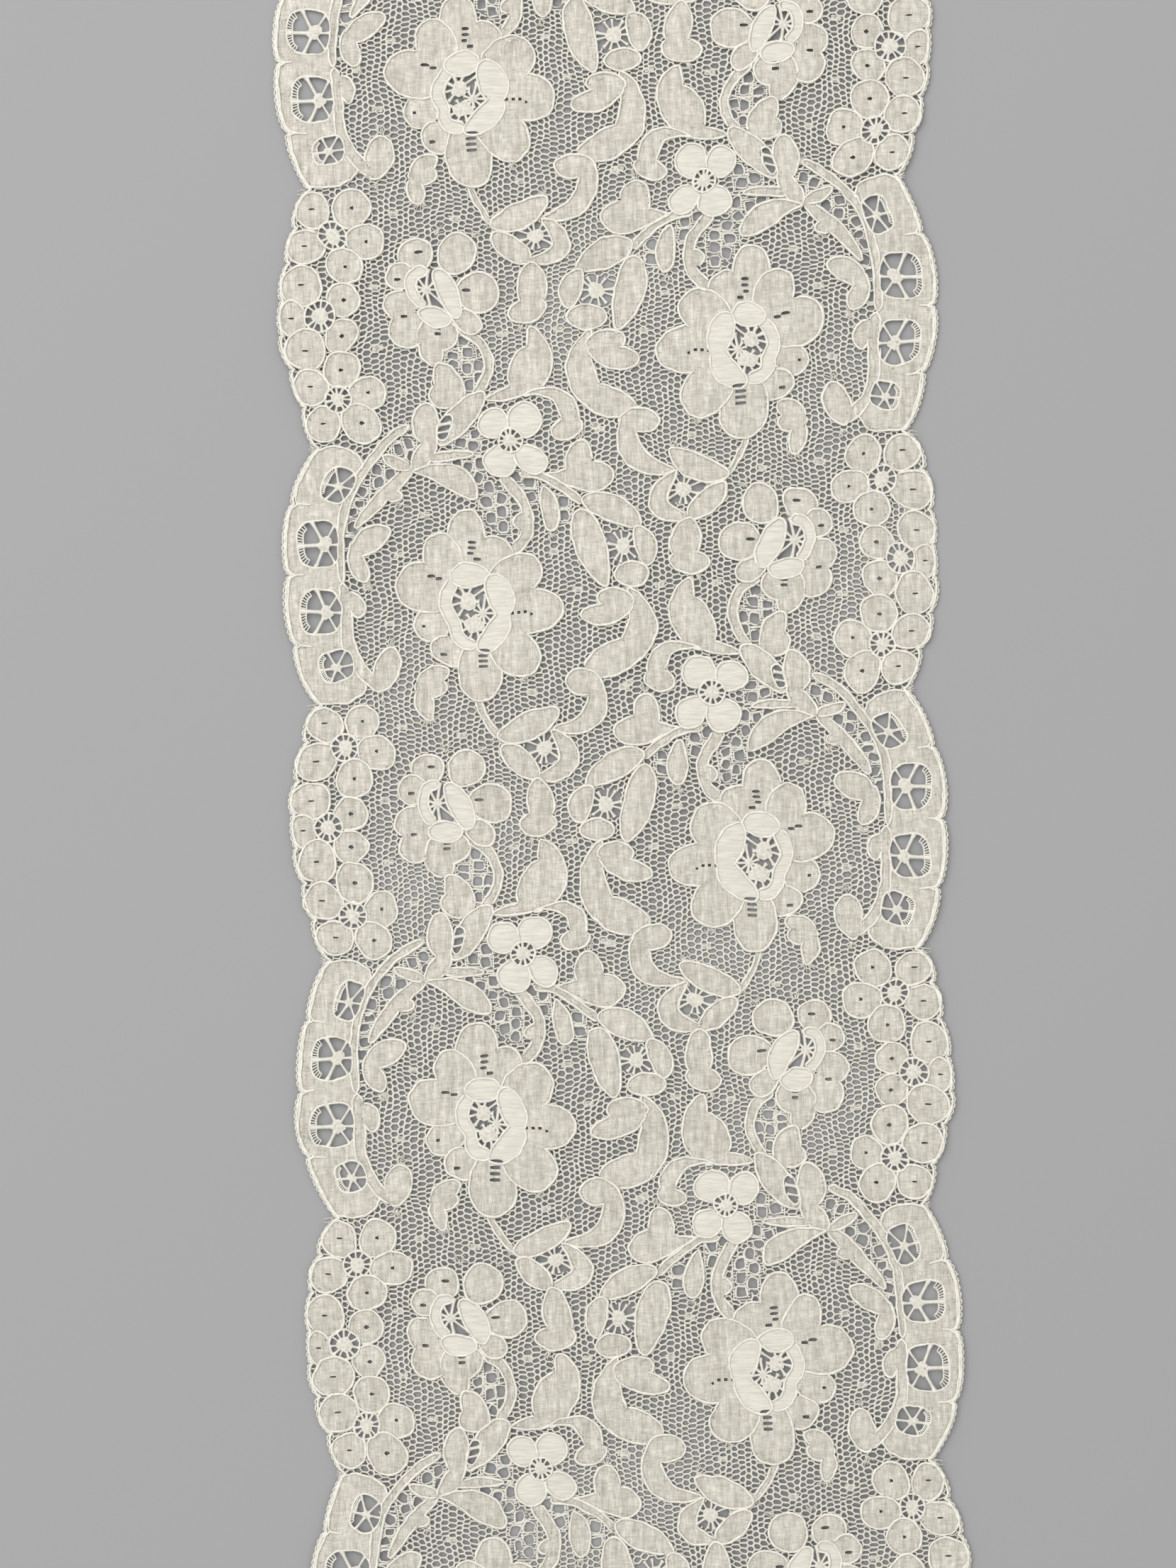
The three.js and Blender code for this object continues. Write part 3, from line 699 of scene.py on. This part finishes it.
slits = slit_rows()
strip_slits = []
for unit in UNITS:
    for (p, q), (length, half) in zip(on_strip(slits[:, :2], unit), slits[:, 2:]):
        q = (math.floor(q / CELL_V) + 0.5) * CELL_V
        kept &= (np.abs(centres[:, 0] - p) > length / 2) | (np.abs(centres[:, 1] - q) > CELL_V / 2)
        squareness = CROSS_SQUARENESS if half == CROSS[1] else SLIT_SQUARENESS
        strip_slits.append(rounded(p, q, length / 2 + 0.1, half, 0.0, squareness, 24))
print("slits on the strip:", len(strip_slits))

# %% Moving the rim onto the outlines
CLOTH_HEIGHT, CLOTH_PUFF, CLOTH_ROUGH = 0.24, 0.10, 0.008
PUFF_REACH = 1.2  # how far inside its rim a motif is at its highest
RIM_REACH = 0.42  # how far a point of the rim may move

number = np.arange(grid.shape[0] * grid.shape[1]).reshape(grid.shape[:2])
cells = np.stack([number[:-1, :-1], number[1:, :-1], number[1:, 1:], number[:-1, 1:]], axis=-1).reshape(-1, 4)
flat = grid.reshape(-1, 2).copy()
uses = np.bincount(cells[kept].ravel(), minlength=len(flat))
rim = np.flatnonzero((uses > 0) & (uses < 4))
rim_gap, rim_foot = nearest_rim(flat[rim], strip_motifs)
for outlines in (strip_holes + strip_slits, strip_cups):
    other_gap, other_foot = nearest_rim(flat[rim], outlines)
    nearer = np.abs(other_gap) < np.abs(rim_gap)
    rim_gap[nearer], rim_foot[nearer] = other_gap[nearer], other_foot[nearer]
close = np.abs(rim_gap) < RIM_REACH
flat[rim[close]] = rim_foot[close]
print("points moved onto an outline:", close.sum(), "of", len(rim))

# %% The cloth stitch piece
puff = CLOTH_PUFF * np.clip(-nearest_rim(flat, strip_motifs)[0] / PUFF_REACH, 0, 1)
puff += chance.normal(0, CLOTH_ROUGH, len(flat))
cloth = make_piece("cloth_stitch", lay(flat, CLOTH_HEIGHT + puff), cells[kept], cloth_finish)
depth = np.maximum(np.minimum(-motif_gap, hole_gap), -cup_gap)
for name, value in (("dense", dense_gap < 0), ("depth", depth)):
    stored = cloth.data.attributes.new(name, "FLOAT", "FACE")
    stored.data.foreach_set("value", value[kept].astype(np.float32))
face_area = np.empty(len(cloth.data.polygons), np.float32)
cloth.data.polygons.foreach_get("area", face_area)
print("cloth stitch, square metres:", round(float(face_area.sum()), 5))

# %% [markdown]
# ## Cords
# A thicker cord is run around every motif, and it is what makes the pattern stand out. It follows each outline. Where
# it would cross a motif that lies higher, or another blade of its own motif, it is left out. That choice is made
# once, on the chart, and holds for every unit.

# %% Which cords show
NEIGHBOURS = (-2, -1, 0, 1, 2)
# how deep a cord may lie inside a higher motif, another blade of its own motif and a hole
IN_HIGHER, IN_OWN, IN_HOLE = 0.06, 0.22, 0.15


def copies(loop):
    """A charted outline and its images in the nearest units, on the chart: mirrored and moved by turns."""
    return [np.stack([(1 - 2 * (k % 2)) * loop[:, 0], loop[:, 1] - k * HALF_DROP], 1) for k in NEIGHBOURS]


chart_copies = [copies(loop) for _, loop, _ in motifs]
all_copies = sum(chart_copies, [])
cup_copies = sum(chart_copies[first_cup:], [])
hole_copies = sum([copies(loop) for loop in holes], [])


def shown(points, rank, name):
    """Which points of a cord stay in sight: those not inside a hole, a higher motif or the same motif's other
    blades."""
    over, beside = [], []
    for other, (other_name, _, _) in enumerate(motifs):
        if other_name == name and other != rank:
            beside += chart_copies[other]
        elif other > rank:
            over += chart_copies[other]
    hidden = (nearest_rim(points, over)[0] < -IN_HIGHER) | (nearest_rim(points, beside)[0] < -IN_OWN)
    if rank < first_cup:
        hidden |= nearest_rim(points, hole_copies)[0] < -IN_HOLE
    return ~hidden


print("outlines with their neighbours:", len(all_copies))

# %% Paths in every unit
END_SLACK = 0.01
CORD_WIDTH, CORD_RISE, CORD_HEIGHT, CORD_STEP = 0.36, 0.22, 0.35, 0.45
CORD_STRAY, CORD_UNEVEN = 0.10, 0.25


def laid_everywhere(paths, height):
    """Charted paths in every unit, laid on the table: shape (units times paths, places, 3)."""
    laid = np.stack([lay(on_strip(paths, unit), height) for unit in UNITS])
    return laid.reshape(-1, *laid.shape[-2:])


def in_length(paths, closed=False):
    """Which steps of paths lie between the two cut ends. A closed path has one step more, back to its start."""
    at_end = np.abs(paths[..., 1]) > CUT_LENGTH / 2 - END_SLACK
    steps = ~(at_end & np.roll(at_end, -1, axis=1))
    return steps if closed else steps[:, :-1]


def wobble(shape, amount):
    """Smooth chance along closed paths: the mean of three neighbouring random numbers."""
    rough = chance.standard_normal(shape)
    return amount * (np.roll(rough, 1, axis=1) + rough + np.roll(rough, -1, axis=1)) / 3


def cord(loop, seen, width, height):
    """A cord along a charted outline in every unit, uneven, left out where it isn't seen and thinner towards there."""
    paths = laid_everywhere(loop, height)
    keep = in_length(paths, True) & seen & np.roll(seen, -1)
    paths[..., :2] += wobble(paths[..., :2].shape, CORD_STRAY)
    taper = (sum(np.roll(seen, shift) for shift in (-1, 0, 1)) / 3) ** 2
    uneven = width * taper * (1 + wobble(paths.shape[:2], CORD_UNEVEN))
    return sweep(paths, uneven, CORD_RISE, 4, True, keep)


# %% Outlining cords
RIM_WIDTH, RIM_HEIGHT = 0.9 * CORD_WIDTH, CORD_HEIGHT - 0.04  # the cords around holes are finer and lower
OFF_CUPS = 0.1

cord_parts = []
for rank, (name, loop, _) in enumerate(motifs):
    loop = even_steps(loop, CORD_STEP)
    cord_parts.append(cord(loop, shown(loop, rank, name), CORD_WIDTH, CORD_HEIGHT))
for loop in holes:
    loop = even_steps(loop, CORD_STEP)
    cord_parts.append(cord(loop, nearest_rim(loop, cup_copies)[0] > OFF_CUPS, RIM_WIDTH, RIM_HEIGHT))
veins = np.array(LOBE_VEINS)[:, None]
t = np.linspace(0, 1, 6)[None, :]
paths = laid_everywhere(veins[..., :2] + t[..., None] * (veins[..., 2:] - veins[..., :2]), CORD_HEIGHT)
cord_parts.append(sweep(paths, CORD_WIDTH * (1.2 - 0.5 * t), CORD_RISE, 4, False, in_length(paths)))
cords = make_piece("outline_cords", *gather(cord_parts), cord_finish)

# %% [markdown]
# ## Net ground
# The net has six-sided meshes. Threads zigzag along the lace side by side, and where two bend towards each other a
# short rung ties them. So a thread's place needs only its number and its row: it steps left and right in turn. Some
# slow drift and a little chance keep it from looking printed. The net leaves room for the cloth, and for the large
# meshes and the rosettes that come later.

# %% Net threads
COLUMN_PITCH, SWING, HALF_THREADS = 0.92, 0.29, 50
NET_HEIGHT, NET_STRAY = 0.14, 0.04

thread = np.arange(-HALF_THREADS, HALF_THREADS + 1)[:, None]
row = np.arange(-HALF_ROWS, HALF_ROWS + 1)[None, :]
swing = np.where((thread + row) % 2 == 0, 0.5, -0.5) * SWING
p, q = np.broadcast_arrays(thread * COLUMN_PITCH + swing, row * CELL_V)
drift_p = 0.16 * np.sin(0.83 * q + 0.41 * p) + 0.12 * np.sin(1.7 * p - 0.6 * q + 2.0)
drift_q = 0.16 * np.sin(0.71 * p + 0.37 * q + 1.0) + 0.12 * np.sin(1.3 * q - 0.9 * p)
net = np.stack([p + drift_p, q + drift_q], axis=-1)
net += chance.normal(0, NET_STRAY, net.shape)
print("net threads:", len(net), "rows:", net.shape[1])

# %% Room for the openwork and the open rosettes
MESH_HALF, MESH_GAP, MESH_BAND, MESH_LADDER = 0.78, 0.03, 0.24, 0.40
MESH_SQUARENESS, MESH_POINTS = 3.6, 16

mesh_middle = np.array(OPENWORK)
# two meshes share the room along the direction in which they lie further apart
apart = np.abs(mesh_middle[:, None] - mesh_middle[None])
further = (apart == apart.max(-1, keepdims=True)) & (apart > 0)
mesh_half = np.minimum(MESH_HALF, np.where(further, apart, FAR_OFF).min(1) / 2 - MESH_GAP)
big_meshes = everywhere([rounded(*middle, *(half + [MESH_LADDER, MESH_BAND]), 0.0, MESH_SQUARENESS, MESH_POINTS)
                         for middle, half in zip(mesh_middle, mesh_half)])
big_meshes += everywhere([rounded(*place) for place in OPEN_ROSETTES])
print("openwork meshes, half width and height in mm:", mesh_half.min().round(2), "to", mesh_half.max().round(2))

# %% Zigzags and rungs
ZIGZAG, RUNG = (0.46, 0.20, 3), (0.36, 0.18, 3)  # width, rise and sides of a thread
UNDER_CLOTH, OFF_EDGE = 0.12, 0.15


def net_shows(middles):
    """Which net threads stay: those between the edges that aren't under cloth, in a hole or in a larger mesh."""
    points = middles.reshape(-1, 2)
    gap, _ = nearest_rim(points, strip_motifs)
    hole, _ = nearest_rim(points, strip_holes + big_meshes)
    return ((gap > -UNDER_CLOTH) & (hole > 0.0) & inside_edges(points, OFF_EDGE)).reshape(middles.shape[:-1])


zigzag_keep = net_shows((net[:, :-1] + net[:, 1:]) / 2)
zigzags = make_piece("net_zigzags", *sweep(lay(net, NET_HEIGHT), *ZIGZAG, False, zigzag_keep), net_finish)
tied = (thread[:-1] + row) % 2 == 0
rungs = np.stack([net[:-1][tied], net[1:][tied]], axis=1)
rungs = rungs[net_shows(rungs.mean(1))]
rung_piece = make_piece("net_rungs", *sweep(lay(rungs, NET_HEIGHT), *RUNG), net_finish)

# %% [markdown]
# ## Spiders and rosettes
# The windows of the arches and the flower hearts hold spiders: a small hub with legs out to the rim. The round holes
# hold rosettes, which are the same with more and finer legs, and two more rosettes stand between leaves without a
# rim. A leg is a sweep that flares at both ends, and a hub is a low dome, a grid of bearing and distance.

# %% Legs and hubs
FILL_HEIGHT = 0.30
HUB_HEIGHT, HUB_RISE, HUB_WAVER, HUB_POINTS = FILL_HEIGHT + 0.05, 0.10, 0.22, 20


def legs(start, end, width, rise, height, places=5, flare=0.9):
    """Straight legs from start to end points on the chart, in every unit, wider at both ends by the flare."""
    t = np.linspace(0, 1, places)[None, :]
    paths = laid_everywhere(start[:, None] + t[..., None] * (end - start)[:, None], height)
    width = np.tile(np.broadcast_to(width, len(start)), len(UNITS))[:, None]
    swell = 1 + flare * np.abs(2 * t - 1) ** 3
    return sweep(paths, width * swell, rise, 4, False, in_length(paths))


def dome(u, v, radius):
    """A low hub in every unit: rings of points at three distances, higher towards the middle, its rim uneven. Faces
    from side to side close the innermost ring."""
    around = np.linspace(0, 2 * np.pi, HUB_POINTS, endpoint=False)
    share = np.array([1.0, 0.75, 0.4])[:, None]
    reach = radius * share * (1 + wobble((1, HUB_POINTS), HUB_WAVER))
    place = np.array([u, v]) + reach[..., None] * heading(around)
    top = HUB_HEIGHT + HUB_RISE * np.sqrt(1 - share ** 2)
    index = np.arange(reach.size).reshape(reach.shape)
    rings = np.stack([index[:-1], np.roll(index[:-1], -1, 1), np.roll(index[1:], -1, 1), index[1:]], -1)
    step = np.arange(HUB_POINTS // 2 - 1)
    lid = index[-1][np.stack([step, step + 1, HUB_POINTS - 2 - step, HUB_POINTS - 1 - step], -1)]
    faces = np.concatenate([rings.reshape(-1, 4), lid])
    parts = []
    for unit in UNITS:
        points = lay(on_strip(place, unit), top)
        turned = faces if unit % 2 == 0 else faces[:, ::-1]
        inside = (np.abs(points[..., 1]) < CUT_LENGTH / 2 - 1e-6).all()
        parts.append((points.reshape(-1, 3), turned if inside else turned[:0]))
    return gather(parts)


def rays(u, v, bearings):
    """Unit steps at bearings in radians, and the hub repeated for each."""
    return heading(bearings), np.tile([[u, v]], (len(bearings), 1))


def reach_of(centre, ray, outline, walls):
    """How far each ray runs from its centre before it leaves an outline or meets a wall, in steps of 0.1 mm."""
    steps = np.linspace(0.2, 5.0, 49)
    along = (centre[:, None] + ray[:, None] * steps[None, :, None]).reshape(-1, 2)
    out = np.maximum(gap_and_foot(along, outline)[0], -nearest_rim(along, walls)[0])
    return steps[np.argmax(out.reshape(len(ray), -1) > 0, axis=1)][:, None]


# %% Spiders in the arch windows
# where the hub lies off the window's middle, its radius, and each leg's bearing in degrees and width
TALL_SPIDER = ((0.8, -0.1), 0.95, [(0, 0.36), (58, 0.30), (116, 0.46), (180, 0.56), (244, 0.46), (302, 0.30)])
SMALL_SPIDER = ((0.1, -0.2), 0.62, [(0, 0.30), (55, 0.28), (112, 0.32), (180, 0.40), (240, 0.34), (302, 0.28)])
TALL = 3.0  # a window is tall from this half height
SPIDER_RISE, SPIDER_START = 0.24, 0.3

spider_parts, hub_parts = [], []
for (u, v, _, half_v, tilt), rim_line in zip(ARCH_WINDOWS, windows):
    (off_u, off_v), radius, leg_rows = TALL_SPIDER if half_v > TALL else SMALL_SPIDER
    bearings, width = np.array(leg_rows).T
    ray, centre = rays(u + off_u, v + off_v, np.radians(bearings + tilt / 2))
    tip = centre + ray * reach_of(centre, ray, rim_line, [])
    spider_parts.append(legs(centre + SPIDER_START * ray, tip, width, SPIDER_RISE, FILL_HEIGHT))
    hub_parts.append(dome(u + off_u, v + off_v, radius))
print("spiders in the arch windows of a half repeat:", len(hub_parts))

# %% Ladders on the outer side of the windows
RUNGS, LADDER_DEPTH = 15, 0.3  # the depth is a share of the window's half width
LADDER_RUNG, LADDER_RAIL = (0.10, 0.12), (0.24, 0.16)  # width and rise

for u, v, half_u, half_v, tilt in ARCH_WINDOWS:
    bearings = np.linspace(math.radians(125), math.radians(235), RUNGS)
    reach = rim_radius(bearings, half_u, half_v, ARCH_SQUARENESS)[:, None]
    ray, centre = rays(u, v, bearings + math.radians(tilt))
    arc = centre + ray * (reach - LADDER_DEPTH * half_u)
    spider_parts.append(legs(arc, centre + ray * reach, *LADDER_RUNG, FILL_HEIGHT, 2))
    paths = laid_everywhere(arc, FILL_HEIGHT)
    spider_parts.append(sweep(paths, *LADDER_RAIL, 4, False, in_length(paths)))
print("rungs in each ladder:", RUNGS)

# %% Spiders in the flower hearts
# u, v, radius, number of the heart window
HEART_HUBS = [(-19.7, 11.5, 1.05, 0), (-19.0, 8.5, 1.1, 0), (-17.8, 9.9, 0.42, 0), (-24.85, -16.2, 0.6, 1)]
HEART_LEGS, LEG_RISE = 9, 0.2
FACING = 0.5  # cosine between a leg and the line to another hub, above which the leg ends half way to it

for u, v, radius, which in HEART_HUBS:
    ray, centre = rays(u, v, np.linspace(0, 2 * np.pi, HEART_LEGS, endpoint=False) + 0.2 + 0.4 * v)
    reach = reach_of(centre, ray, rounded(*HEART_WINDOWS[which]), cup_copies)
    for other_u, other_v, _, other in HEART_HUBS:
        if other == which and (other_u, other_v) != (u, v):
            span = np.array([other_u - u, other_v - v])
            facing = (ray @ span)[:, None] / np.hypot(*span)
            half_way = 0.5 * np.hypot(*span) / facing.clip(FACING)
            reach = np.where(facing > FACING, np.minimum(reach, half_way), reach)
    width = 0.30 + 0.20 * chance.random(HEART_LEGS)
    spider_parts.append(legs(centre, centre + ray * reach, width, LEG_RISE, FILL_HEIGHT))
    hub_parts.append(dome(u, v, radius))
# two slanting bars cross the loop's window
bars = np.array(LOOP_WINDOW[:2]) + [[-0.7, 0.45], [-1.0, -0.75]]
spider_parts.append(legs(bars, bars + [[1.6, 0.3]], [0.45, 0.3], LEG_RISE, FILL_HEIGHT))
spiders = make_piece("spiders", *gather(spider_parts), net_finish)

# %% Rosettes
ROSETTE_LEGS, ROSETTE_STRAY, ROSETTE_START = 11, 0.06, 0.4
ROSETTE_HUB = 0.52  # share of the rosette's half height

rosette_parts = []
for u, v, half_u, half_v, walls in ([(u, v, radius, radius, []) for u, v, radius in ROSETTES]
                                    + [(*place, all_copies) for place in OPEN_ROSETTES]):
    ray, centre = rays(u, v, np.linspace(0, 2 * np.pi, ROSETTE_LEGS, endpoint=False) + 0.7 * u)
    ray = ray + chance.normal(0, ROSETTE_STRAY, ray.shape)
    reach = reach_of(centre, ray, rounded(u, v, half_u, half_v, 0.0, ROUND), walls)
    width = 0.24 + 0.18 * chance.random(ROSETTE_LEGS)
    rosette_parts.append(legs(centre + ROSETTE_START * ray, centre + reach * ray, width, LEG_RISE, FILL_HEIGHT))
    hub_parts.append(dome(u, v, ROSETTE_HUB * half_v))
rosettes = make_piece("rosettes", *gather(rosette_parts), net_finish)
hubs = make_piece("hubs", *gather(hub_parts), hub_finish)

# %% [markdown]
# ## Openwork, spots and clipped ends
# Beside the stems some meshes are large and square. A bar of crosswise threads lies above and below each, and small
# ladders on both sides. All these threads are straight, so one table of their ends, in shares of a mesh's size, makes
# every mesh. Small woven spots are scattered on the net: a few extra wefts side by side. Where a motif ends, its
# floating threads were clipped, and short ends stand out.

# %% Rings of the large meshes
MESH_WIDTH, MESH_RISE, MESH_HEIGHT = 0.25, 0.16, NET_HEIGHT + 0.06
MESH_TILT, MESH_STRAY, MESH_UNEVEN = 11, 0.13, 0.14  # degrees, then mm
UNDER_MOTIF = 0.1

openwork_parts, openings = [], []
for middle, half in zip(mesh_middle, mesh_half):
    ring = rounded(*middle, *half, MESH_TILT * chance.standard_normal(), MESH_SQUARENESS, MESH_POINTS)
    openings += copies(ring)
    paths = laid_everywhere(ring, MESH_HEIGHT)
    bare = nearest_rim(ring, all_copies)[0] > -UNDER_MOTIF
    keep = in_length(paths, True) & bare & np.roll(bare, -1)
    paths[..., :2] += wobble(paths[..., :2].shape, MESH_STRAY)
    uneven = MESH_WIDTH + wobble(paths.shape[:2], MESH_UNEVEN)
    openwork_parts.append(sweep(paths, uneven, MESH_RISE, 4, True, keep))
print("large meshes in a half repeat:", len(openwork_parts))

# %% Bars and ladders of the large meshes
SIDES, STEPS = (-1, 1), (-0.75, -0.25, 0.25, 0.75)
TIE_RISE, TIE_HEIGHT, TIE_STRAY = 0.12, NET_HEIGHT + 0.05, 0.06

# each thread's two ends: shares of the half width and half height, then distances in mm
ties = [(-1, side, -0.25, side * MESH_BAND, 1, side, 0.25, side * MESH_BAND) for side in SIDES]
ties += [(side, -1, side * MESH_LADDER, -0.2, side, 1, side * MESH_LADDER, 0.2) for side in SIDES]
ties += [(side, step, 0, 0, side, step, side * MESH_LADDER, 0) for side in SIDES for step in STEPS]
share_a, past_a, share_b, past_b = np.split(np.array(ties), 4, axis=1)
start = (mesh_middle[:, None] + mesh_half[:, None] * share_a + past_a).reshape(-1, 2)
end = (mesh_middle[:, None] + mesh_half[:, None] * share_b + past_b).reshape(-1, 2)
start, end = start + chance.normal(0, TIE_STRAY, start.shape), end + chance.normal(0, TIE_STRAY, end.shape)
clear = nearest_rim((start + end) / 2, all_copies)[0] > -UNDER_MOTIF
for share in (0.05, 0.5, 0.95):
    clear &= nearest_rim(start + share * (end - start), openings)[0] > -UNDER_MOTIF
width = 0.14 + 0.08 * chance.random(len(start))
openwork_parts.append(legs(start[clear], end[clear], width[clear], TIE_RISE, TIE_HEIGHT, 3, 0.1))
openwork = make_piece("openwork_meshes", *gather(openwork_parts), net_finish)

# %% Woven spots
SPOT_WEFTS, SPOT_PITCH = 7, 0.115
SPOT_WEFT, SPOT_HEIGHT = (0.08, 0.05), NET_HEIGHT + 0.03  # width and rise

offset = np.stack([np.zeros(SPOT_WEFTS), (np.arange(SPOT_WEFTS) - (SPOT_WEFTS - 1) / 2) * SPOT_PITCH], 1)
middle = (np.array(SPOTS)[:, None] + offset).reshape(-1, 2)
half = np.stack([0.58 + 0.2 * chance.random(len(middle)), 0.02 * chance.standard_normal(len(middle))], 1)
spots = make_piece("woven_spots", *legs(middle - half, middle + half, *SPOT_WEFT, SPOT_HEIGHT, 3), hub_finish)

# %% Clipped thread ends
# u, v, bearing of the fan in degrees
CLIPPED = [
    (-33.4, 14.6, 280), (-31.6, -1.4, 250), (-31.0, 5.6, 60), (-25.5, -4.4, 225), (-25.2, -4.0, 310),
    (-15.8, -7.2, 200), (-8.6, 20.6, 280), (-1.2, 12.9, 290), (-8.2, -3.2, 165), (-11.8, -21.2, 240),
    (-4.2, 33.6, 90), (-23.4, -8.9, 80), (-18.4, -9.2, 60), (-28.6, 25.6, 260), (-40.4, 33.0, 150),
    (-40.7, -2.4, 190), (-13.2, 17.8, 300), (-27.2, -35.3, 100), (-13.0, 0.5, 340)]
FAN = 7  # ends in a fan
FAN_SPREAD, FAN_TURN, FAN_CURL = 0.16, 0.42, 0.35  # mm, then radians

base = np.repeat(np.array(CLIPPED)[:, :2], FAN, axis=0) + chance.normal(0, FAN_SPREAD, (len(CLIPPED) * FAN, 2))
bearing = np.radians(np.repeat([row[2] for row in CLIPPED], FAN)) + chance.normal(0, FAN_TURN, len(base))
curl = chance.normal(0, FAN_CURL, len(base))
length = 0.7 + 0.7 * chance.random(len(base))
t = np.linspace(0, 1, 5)[None, :]
ends = base[:, None] + (length[:, None] * t)[..., None] * heading(bearing[:, None] + curl[:, None] * t)
paths = laid_everywhere(ends, NET_HEIGHT + 0.12 + 0.2 * t)
clipped = make_piece("clipped_ends", *sweep(paths, 0.16 * (1 - 0.4 * t), 0.12, 3, False, in_length(paths)), cord_finish)

# %% [markdown]
# ## Edges
# Both edges are finished with a cord along the scallops, and outside it a fine thread in tiny loops, the picots.

# %% Edge cords and picots
EDGE_STEP, EDGE_INSET = 0.24, 0.32
PICOT_PITCH, PICOT_OUT, PICOT_INSET = 0.95, 0.27, 0.22
EDGE_CORD, PICOT = (0.34, 0.3, 5), (0.24, 0.18, 4)  # width, rise and sides

edge_parts, picot_parts = [], []
for line, outward in ((left_edge, -1.0), (right_edge, 1.0)):
    line = line[np.abs(line[:, 1]) < CUT_LENGTH / 2 + 2]
    places = np.arange(0, walked(line)[-1], EDGE_STEP)
    line = points_at(line, places)
    paths = lay(line - outward * np.array([EDGE_INSET, 0.0]), RIM_HEIGHT)[None]
    edge_parts.append(sweep(paths, *EDGE_CORD, False, in_length(paths)))
    loops = np.abs(np.sin(np.pi * places / PICOT_PITCH)) ** 0.8
    picot = line + outward * np.stack([PICOT_OUT * loops - PICOT_INSET, np.zeros(len(places))], 1)
    paths = lay(picot, NET_HEIGHT + 0.04)[None]
    picot_parts.append(sweep(paths, *PICOT, False, in_length(paths)))
edge_cords = make_piece("edge_cords", *gather(edge_parts), cord_finish)
picots = make_piece("picots", *gather(picot_parts), net_finish)

# %% [markdown]
# ## Riding on the frame
# The cloth stitch stands for the imported solid, which stays hidden for collision. Every other thread piece rides with
# it on the same frame. Its area, printed above, is that of the cloth stitch alone.

# %% Attaching to the frame
threads = [cords, zigzags, rung_piece, spiders, rosettes, hubs, openwork, spots, clipped, edge_cords, picots]
for piece in [cloth] + threads:
    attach(piece, "root")
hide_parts("lace_galloon")
print("pieces:", 1 + len(threads))

# %% [markdown]
# ## Floor, light and camera
# The lace lies on a plain pale surface. A wide soft lamp hangs above, a little to the upper left, so that cords and
# cloth cast short shadows. The camera looks straight down with a slight roll, as the lace lies in the picture.

# %% Floor
FLOOR_HALF, FLOOR_TONE = 2, (0.35, 0.35, 0.355, 1)
floor_finish, _, shader, _ = finish_start("pale_floor", 0.9, 0.0)
shader.inputs["Base Color"].default_value = FLOOR_TONE
mesh = bpy.data.meshes.new("floor")
corners = [(x * FLOOR_HALF, y * FLOOR_HALF, 0) for x, y in ((-1, -1), (1, -1), (1, 1), (-1, 1))]
mesh.from_pydata(corners, [], [(0, 1, 2, 3)])
mesh.materials.append(floor_finish)
floor = bpy.data.objects.new("floor", mesh)
bpy.context.scene.collection.objects.link(floor)
print("floor, metres across:", 2 * FLOOR_HALF)

# %% Light
LAMP_SIZE, LAMP_POWER, LAMP_PLACE, LAMP_TILT = 1.1, 7.0, (-0.35, 0.35, 0.8), math.radians(-22)
SKY_TONE, SKY_STRENGTH = (1.0, 0.99, 0.97, 1), 0.72
scene = bpy.context.scene
scene.view_settings.view_transform = "Standard"
world = bpy.data.worlds.new("studio")
scene.world = world
world.use_nodes = True
sky = world.node_tree.nodes["Background"]
sky.inputs["Color"].default_value = SKY_TONE
sky.inputs["Strength"].default_value = SKY_STRENGTH

lamp = bpy.data.lights.new("soft_lamp", "AREA")
lamp.size = LAMP_SIZE
lamp.energy = LAMP_POWER
lamp_object = bpy.data.objects.new("soft_lamp", lamp)
lamp_object.location = LAMP_PLACE
lamp_object.rotation_euler = (LAMP_TILT, LAMP_TILT, 0)
scene.collection.objects.link(lamp_object)
print("lamp:", LAMP_SIZE, "m wide,", LAMP_POWER, "W")

# %% Camera
VIEW_HEIGHT = 215.2  # length of the lace that the picture shows, in mm
LENS, SENSOR = 70.0, 36.0
CAMERA_X, CAMERA_ROLL = -0.0042, math.radians(-1.4)
camera = bpy.data.cameras.new("camera")
camera.lens = LENS
camera.sensor_width = SENSOR
camera.clip_start = 0.01
camera_object = bpy.data.objects.new("camera", camera)
camera_object.location = (CAMERA_X, 0.0, VIEW_HEIGHT * MM * LENS / SENSOR)
camera_object.rotation_euler = (0, 0, CAMERA_ROLL)
scene.collection.objects.link(camera_object)
scene.camera = camera_object
print("camera height, metres:", round(camera_object.location.z, 3))
